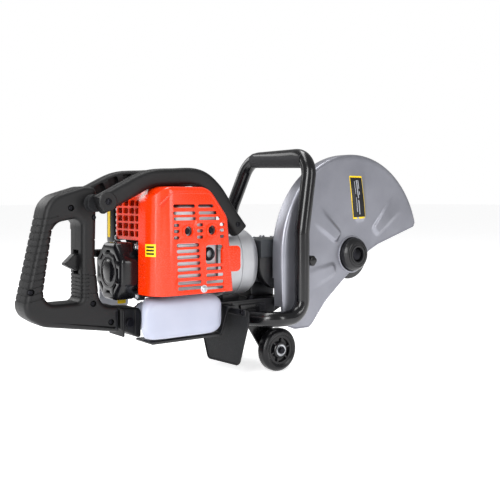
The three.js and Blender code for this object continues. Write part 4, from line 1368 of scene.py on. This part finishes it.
# %% The front handle
HANDLE_PATH = [
    (-215.7, -51, 92), (-192, -92, 92), (-133, -92, 92), (-133, -92, 234), (-112, -91, 364), (
        -112, 80, 363,
    ),
    (-128, 116, 270), (-133, 118, 234), (-133, 118, 92), (-192, 118, 92), (-215.8, 64, 92),
]
BENDS = [0, 30, 38, 80, 38, 44, 90, 90, 38, 30, 0]
handle_line = rounded(HANDLE_PATH, BENDS, closed=False, steps=14)
handle = tube(handle_line, 12.5, 40)
plates = [
    thick([rectangle(-228, -198, 78, 106, 6)], -50.6, -44.6, 1.2),
    thick([rectangle(-228, -198, 78, 106, 6)], 58.6, 64.6, 1.2),
]
hand_over(
    "front_handle_tube", joined(handle, *plates), black_powder_coat, "frame",
    ["front_handle"],
)
sleeve_line = [p for p in handle_line if p.z > 355 and -78 < p.y < 66]
sleeve_path = [sleeve_line[0].lerp(sleeve_line[-1], k / 60) for k in range(61)]
hand_over("front_handle_sleeve", tube(sleeve_path, 13.6, 40), sleeve_rubber)
handle_bolts = [hex_head((-213, -50.6, 92), "-y", 13, 6), hex_head((-213, 64.6, 92), "+y", 13, 6)]
hand_over("front_handle_bolts", joined(*handle_bolts), zinc_steel)

# %% [markdown]
# ## Guard rails over the engine
# Two moulded rails run from the rear handle over the engine and down to the clutch housing. Each is a
# rounded beam, a little deeper than it is wide, hollow on its inner face with cross ribs that keep it
# stiff.

# %% The rails
RAIL_LINE = [
    (-486, 281), (-447, 301), (-407, 319), (-366, 323), (-320, 323), (-289, 304), (-261, 268), (-237, 239),
]


def smooth_curve(points, steps):
    """A Catmull-Rom curve through points."""
    p = [Vector(q) for q in points]
    p = [2 * p[0] - p[1]] + p + [2 * p[-1] - p[-2]]
    made = []
    for i in range(1, len(p) - 2):
        for k in range(steps):
            t = k / steps
            a, b, c, d = p[i - 1], p[i], p[i + 1], p[i + 2]
            made.append(
                0.5 * (
                    2 * b + (c - a) * t + (2 * a - 5 * b + 4 * c - d) * t**2
                    + (3 * b - a - 3 * c + d) * t**3
                ),
            )
    return made + [p[-2]]


def beam(line, y, width, height, corner=8.0, swell=0.0):
    """A beam with a rounded oblong section along a line of x and z."""
    loops = []
    section = rectangle(-width / 2, width / 2, -height / 2, height / 2, corner, 5)
    for i, here in enumerate(line):
        ahead = (line[min(i + 1, len(line) - 1)] - line[max(i - 1, 0)]).normalized()
        up = Vector((-ahead.y, ahead.x))
        grow = 1 + swell * math.sin(math.pi * i / (len(line) - 1))
        loops.append(
            [Vector((here.x + up.x * v * grow, y + u, here.y + up.y * v * grow)) for u, v in section],
        )
    return lofted(loops)


rail_curve = smooth_curve(RAIL_LINE, 10)
for side, sign in (("right", -1), ("left", 1)):
    rail = beam([p - Vector((0, 1)) for p in rail_curve], sign * 52, 24, 28, 8.5)
    pockets = []
    for i in range(10, 60, 6):
        a, b = rail_curve[i], rail_curve[i + 4]
        ahead = (b - a).normalized()
        up = Vector((-ahead.y, ahead.x))
        corners = [a + up * -7.5, b + up * -7.5, b + up * 7.5, a + up * 7.5]
        y0, y1 = (40, 48) if sign > 0 else (-48, -39)
        pockets.append(
            thick([rounded([tuple(c) for c in corners], 2.4)], y0 - 2 * (sign > 0), y1 + (sign < 0), 0),
        )
    rail = cut(rail, *pockets)
    hand_over(f"rail_beam_{side}", rail, black_nylon, "frame", [f"rail_{side}"])
    damper_line = [
        (0, 0), (12.4, 0), (13, 0.8), (11.2, 4), (11.2, 11.4), (13, 14.6), (12.4, 15.4), (0, 15.4),
    ]
    damper = turned("y", [(r, sign * (24.3 + s)) for r, s in damper_line], (-484, 0, 283), 48)
    hand_over(
        f"rail_damper_rubber_{side}", damper, sheet_rubber, "frame", [f"rail_damper_{side}"],
    )
    collar = turned(
        "y",
        [(r, sign * s) for r, s in ((0, 62), (13, 62), (14, 63), (14, 65.4), (12.6, 66.6), (0, 66.6))],
        (-478, 0, 285), 48,
    )
    hand_over(f"rail_collar_{side}", collar, black_nylon)
    facing = "+y" if sign > 0 else "-y"
    rail_bolts = [
        pan_head((-478, sign * 66.4, 285), facing, 10, 2), pan_head((-246, sign * 63.6, 248), facing, 9, 2),
    ]
    hand_over(f"rail_bolts_{side}", joined(*rail_bolts), dark_steel)

# %% [markdown]
# ## The rear handle
# The D-shaped handle is two nylon half shells that meet on the saw's middle plane. The whole loop is made
# first as one thick outline with its window, with big rounds along both rims so that the bar fills the
# hand. Grip grooves are shallow, so they are cut with slabs from which a slightly smaller loop has been
# taken away. Last, the loop is parted into its two shells with a hairline gap.

# %% The handle loop
GRIP_OUTLINE = [
    (-437, 88), (-437, 127), (-468, 131), (-476, 200), (-474, 306), (-494, 308), (-550, 291), (-587, 126), (
        -556, 107,
    ),
]
GRIP_RADII = [5, 6, 20, 60, 10, 24, 34, 30, 40]
GRIP_WINDOW = [(-498, 138), (-498, 262), (-541, 254), (-558, 138)]
WINDOW_RADII = [8, 12, 20, 18]


def handle_loop(shrink=0.0):
    outline = rounded(GRIP_OUTLINE, GRIP_RADII, steps=8)
    window = rounded(GRIP_WINDOW, WINDOW_RADII, steps=8)
    return thick([outline, window], -24 + shrink, 24 - shrink, 8 - shrink, "xz", -shrink, 4)


loop = handle_loop()
BAR_LEAN = 11.0
slabs = []
for k in range(13):
    z = 146 + k * 9.6
    x = -567 + (z - 146) * 0.19
    slab = thick([rectangle(x - 26, x + 14 if z < 250 else x + 10, z, z + 2.4, 0.6)], -30, 30)
    slabs.append(moved(slab, leaning((x, 0, z), "Y", -BAR_LEAN)))
for k in range(7):
    z = 144 + k * 5.6
    slabs.append(thick([rectangle(-503, -488, z, z + 1.8, 0.5)], -30, 30))
for z in (150, 176, 202, 228):
    slabs.append(thick([rectangle(-486, -462, z, z + 1.6, 0.5)], -30, 30))
grooves = cut(joined(*slabs), handle_loop(1.1))
loop = cut(loop, grooves)
print("handle loop with grooves:", len(loop.data.polygons), "faces")

# %% Part the loop into two shells
SHELL_SCREWS = [(-516, 276), (-575, 158), (-479, 262), (-481, 135), (-452, 105)]
trigger_room = thick([rectangle(-512, -479, 178, 214, 4)], -9, 9)
switch_room = thick([rectangle(-497, -478, 240, 258, 3)], 23.6, 30)
loop = cut(loop, trigger_room, switch_room)
wells = [turned("y", [(0, -30), (4.8, -30), (4.8, -19), (0, -19)], (x, 0, z), 32) for x, z in SHELL_SCREWS]
nut_wells = [turned("y", [(0, 30), (4.8, 30), (4.8, 19), (0, 19)], (x, 0, z), 6) for x, z in SHELL_SCREWS]
twin = loose("twin", loop.data.copy())
left_room = thick([rectangle(-640, -400, 60, 330)], -0.2, 40)
right_room = thick([rectangle(-640, -400, 60, 330)], -40, 0.2)
right_shell = cut(cut(loop, left_room), *wells)
left_shell = cut(cut(twin, right_room), *nut_wells)
for name, shell in (("right", right_shell), ("left", left_shell)):
    hand_over(
        f"grip_shell_moulding_{name}", shell, black_nylon, "frame", [f"grip_shell_{name}"],
    )
shell_screws = [pan_head((x, -20, z), "-y", 7.4, 2.4) for x, z in SHELL_SCREWS]
hand_over("grip_shell_screws", joined(*shell_screws), dark_steel)

# %% Trigger, stop switch and mount block
TRIGGER = [(-486, 208), (-486, 184), (-500, 183), (-517, 192), (-517.5, 194.5), (-503, 208)]
trigger = thick([rounded(TRIGGER, [2, 2, 3, 1.5, 1.5, 6])], -8, 8, 2)
hand_over("throttle_trigger_moulding", trigger, black_nylon, "trigger", ["throttle_trigger"])
slider = thick([rectangle(-495, -480, 242, 256, 3)], 24.3, 27.4, 0.8)
ridges = [thick([rectangle(-493, -482, z, z + 1.5, 0.6)], 26.6, 29, 0.5) for z in (244.5, 248, 251.5)]
hand_over(
    "stop_switch_slider", joined(slider, *ridges), gloss_nylon, "switch",
    ["stop_switch"],
)
block_line = rounded([(-436, 92), (-404, 76), (-400, 78), (-400, 122), (-436, 124)], [5, 8, 3, 8, 5])
block = eased(thick([block_line], -22, 22, 3), 0.6, 1, 60)
clamp = [thick([rectangle(x, x + 3, 80, 121, 1.4)], -23.4, 23.4, 1.3) for x in (-432, -412)]
hand_over(
    "rear_mount_block_moulding", joined(block, *clamp), black_nylon, "frame",
    ["rear_mount_block"],
)
block_screws = [hex_head((-421, -22, 101), "-y", 12, 5), hex_head((-421, 22, 101), "+y", 12, 5)]
hand_over("rear_mount_bolts", joined(*block_screws), dark_steel)

# %% [markdown]
# ## The rope between eyelet and grip
# The rope must keep its inner end at the eyelet and follow the grip with the other. A short braided tube with
# many rings is made here and left on neither body.

# %% The starter rope
rope_loops = []
for k in range(61):
    y = 36 + k * 0.2
    braid = [2 + 0.18 * math.sin(6 * a + 3.2 * y) for a in [math.tau * i / 24 for i in range(24)]]
    spots = [(-430 + braid[i] * math.cos(math.tau * i / 24), y, 203 + braid[i] * math.sin(math.tau * i / 24))
             for i in range(24)]
    rope_loops.append([Vector(s) for s in spots])
rope = lofted(rope_loops)
hand_over("starter_rope_braid", rope, rope_fibre, None, ["starter_rope"])
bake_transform(rope)

# %% [markdown]
# ## The belt arm
# The arm that carries the disc is a shallow black box around the two pulleys, closed on the disc side by a
# flat pressed cover.

# %% The belt arm
def around_pulleys(grow, steps=20):
    """The outline that a belt draws round both pulleys, grown outwards."""
    rear, front = (-140, CRANK_Z, 34), (0, SPINDLE_Z, 30)
    lean = math.atan2(front[1] - rear[1], front[0] - rear[0])
    reach = math.acos((rear[2] - front[2]) / math.dist(rear[:2], front[:2]))
    points = []
    for (x, z, r), a0, a1 in (
        (front, lean - reach, lean + reach), (rear, lean + reach, lean - reach + math.tau),
    ):
        for k in range(steps + 1):
            a = a0 + (a1 - a0) * k / steps
            points.append(Vector((x + (r + grow) * math.cos(a), z + (r + grow) * math.sin(a))))
    return points


arm = thick([around_pulleys(11)], -41, -25, 1.8)
arm = cut(arm, thick([around_pulleys(8)], -45, -28.5))
arm = cut(arm, rod("y", 20.3, -32, 0, (0, SPINDLE_Z), 0, 48), rod("y", 13, -30, 0, (-140, CRANK_Z), 0, 48))
hub_line = [(20.3, -26), (26.5, -26), (25, -22), (25, -7.4), (23.6, -6), (20.3, -6)]
arm_parts = [arm, turned("y", hub_line, (0, 0, SPINDLE_Z), 64)]
for x, z in ((-105, 207), (-40, 214), (-104, 151), (-40, 150)):
    arm_parts.append(turned("y", [(0, -25.4), (6, -25.4), (5, -21), (0, -21)], (x, 0, z), 24))
hand_over(
    "belt_arm_casting", joined(*arm_parts), satin_powder_coat, "frame", ["belt_arm"],
)
cover_hole = rod("y", 12, -48, -38, (0, SPINDLE_Z), 0, 48)
cover_plate = cut(thick([around_pulleys(11)], -43.4, -41.3, 0.7), cover_hole)
hand_over(
    "belt_cover_plate", cover_plate, satin_powder_coat, "frame", ["belt_cover"],
)
ribbed = thick([around_pulleys(5.6), around_pulleys(0.4)], -38.5, -30.5, 0.4)
hand_over("drive_belt_loop", ribbed, rope_fibre, "frame", ["drive_belt"])

# %% The bridge between the rails
bridge = thick([rectangle(-392, -306, -61, 61, 8)], 309.6, 314, 1.2, "xy")
hand_over("rail_bridge_plate", bridge, black_nylon)

# %% The side shield behind the engine
shield = thick([rectangle(-428, -376, 112, 184, 8)], 64, 66.5, 0.9)
feet = [thick([rectangle(-404, -396, 160, 170, 2)], 36, 65, 0.8)]
hand_over("side_shield", joined(shield, *feet), grey_plate_paint)
patches = [thick([rectangle(-396, -381, 118, 132, 2)], y, y + 0.7, 0.2) for y in (63.6, 66.2)]
hand_over("side_shield_patches", joined(*patches), yellow_film)
filter_mark = thick([rectangle(86, 95, 226, 276, 2)], -398.3, -397.4, 0.2, "yz")
hand_over("air_filter_mark", filter_mark, yellow_film)

# %% [markdown]
# ## Parts that stay as the CAD made them
# Shafts, pulleys, gears, clutch and flywheel are mostly hidden, and the CAD shape is the real one. They
# only change finish: machined steel for what turns in bearings, cast metal for the pulleys and flywheel.

# %% Finish the CAD parts that stay
KEPT_PARTS = {
    zinc_steel: [
        "spindle_shaft", "inner_flange", "spindle_bearing", "bevel_pinion", "bevel_gear", "crankshaft",
        "clutch_drum", "centrifugal_clutch", "piston",
    ],
    cast_aluminium: ["driven_pulley", "drive_pulley", "flywheel"],
}
for finish, names in KEPT_PARTS.items():
    for name in names:
        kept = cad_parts[name]
        kept.data.materials.clear()
        kept.data.materials.append(finish)
    print(f"{finish.name}: {', '.join(names)}")

# %% [markdown]
# ## Colour on the screen
# Blender's usual view softens bright colours, which would turn this orange pink. The standard view shows
# each hex colour as it was written, so the paint charts above can be trusted.

# %% Choose the standard view
bpy.context.scene.view_settings.view_transform = "Standard"

# %% [markdown]
# ## Floor, light and air
# The saw stands on a pale floor in a bright room. A wide softbox and a tall narrow one behind the saw light
# the cover's rear corner, a weaker one fills the guard, a strip above draws bright lines along the tubes, and
# the last one lights the carburettor side.

# %% The floor
floor_paint, tree, shader, coords = blank("studio_floor_white")
finish_from(tree, shader, coords, ("#F4F4F5", "#F7F7F8"), (0.55, 0.7), 900, 60, 0.02)
shader.inputs["Emission Color"].default_value = linear("#FFFFFF")
shader.inputs["Emission Strength"].default_value = 0.62
mesh = bpy.data.meshes.new("studio_floor")
mesh.from_pydata([(-40, -40, 0), (40, -40, 0), (40, 40, 0), (-40, 40, 0)], [], [(0, 1, 2, 3)])
mesh.materials.append(floor_paint)
floor = bpy.data.objects.new("studio_floor", mesh)
bpy.context.scene.collection.objects.link(floor)

# %% Softboxes and the room
def softbox(name, at, aim, size, power, colour="#FFFFFF"):
    data = bpy.data.lights.new(name, "AREA")
    data.shape = "RECTANGLE"
    data.size, data.size_y = size
    data.energy = power
    data.color = linear(colour)[:3]
    lamp = bpy.data.objects.new(name, data)
    lamp.location = at
    lamp.rotation_euler = (Vector(aim) - Vector(at)).to_track_quat("-Z", "Y").to_euler()
    bpy.context.scene.collection.objects.link(lamp)


softbox("key_softbox", (-1.9, -1.3, 1.3), (-0.1, 0, 0.2), (0.7, 1.6), 36)
softbox("edge_softbox", (-2.0, -0.95, 0.6), (-0.15, 0, 0.2), (0.3, 1.6), 12)
softbox("fill_softbox", (0.6, -2.3, 0.9), (0.1, 0, 0.2), (0.5, 1.4), 16)
softbox("top_strip", (-0.2, 0.2, 2.1), (-0.1, 0, 0.2), (2.2, 0.5), 26)
softbox("left_softbox", (-0.8, 2.0, 1.3), (-0.1, 0, 0.2), (1.6, 1.0), 18)

world = bpy.data.worlds.new("bright_room")
bpy.context.scene.world = world
world.use_nodes = True
air = world.node_tree
air.nodes.clear()
room_light = add(air, "ShaderNodeBackground", {"Color": linear("#FFFFFF"), "Strength": 0.36})
backdrop = add(air, "ShaderNodeBackground", {"Color": linear("#FFFFFF"), "Strength": 1.0})
path = add(air, "ShaderNodeLightPath")
seen = add(
    air, "ShaderNodeMixShader",
    {0: path.outputs["Is Camera Ray"], 1: room_light.outputs[0], 2: backdrop.outputs[0]},
)
add(air, "ShaderNodeOutputWorld", {"Surface": seen.outputs[0]})
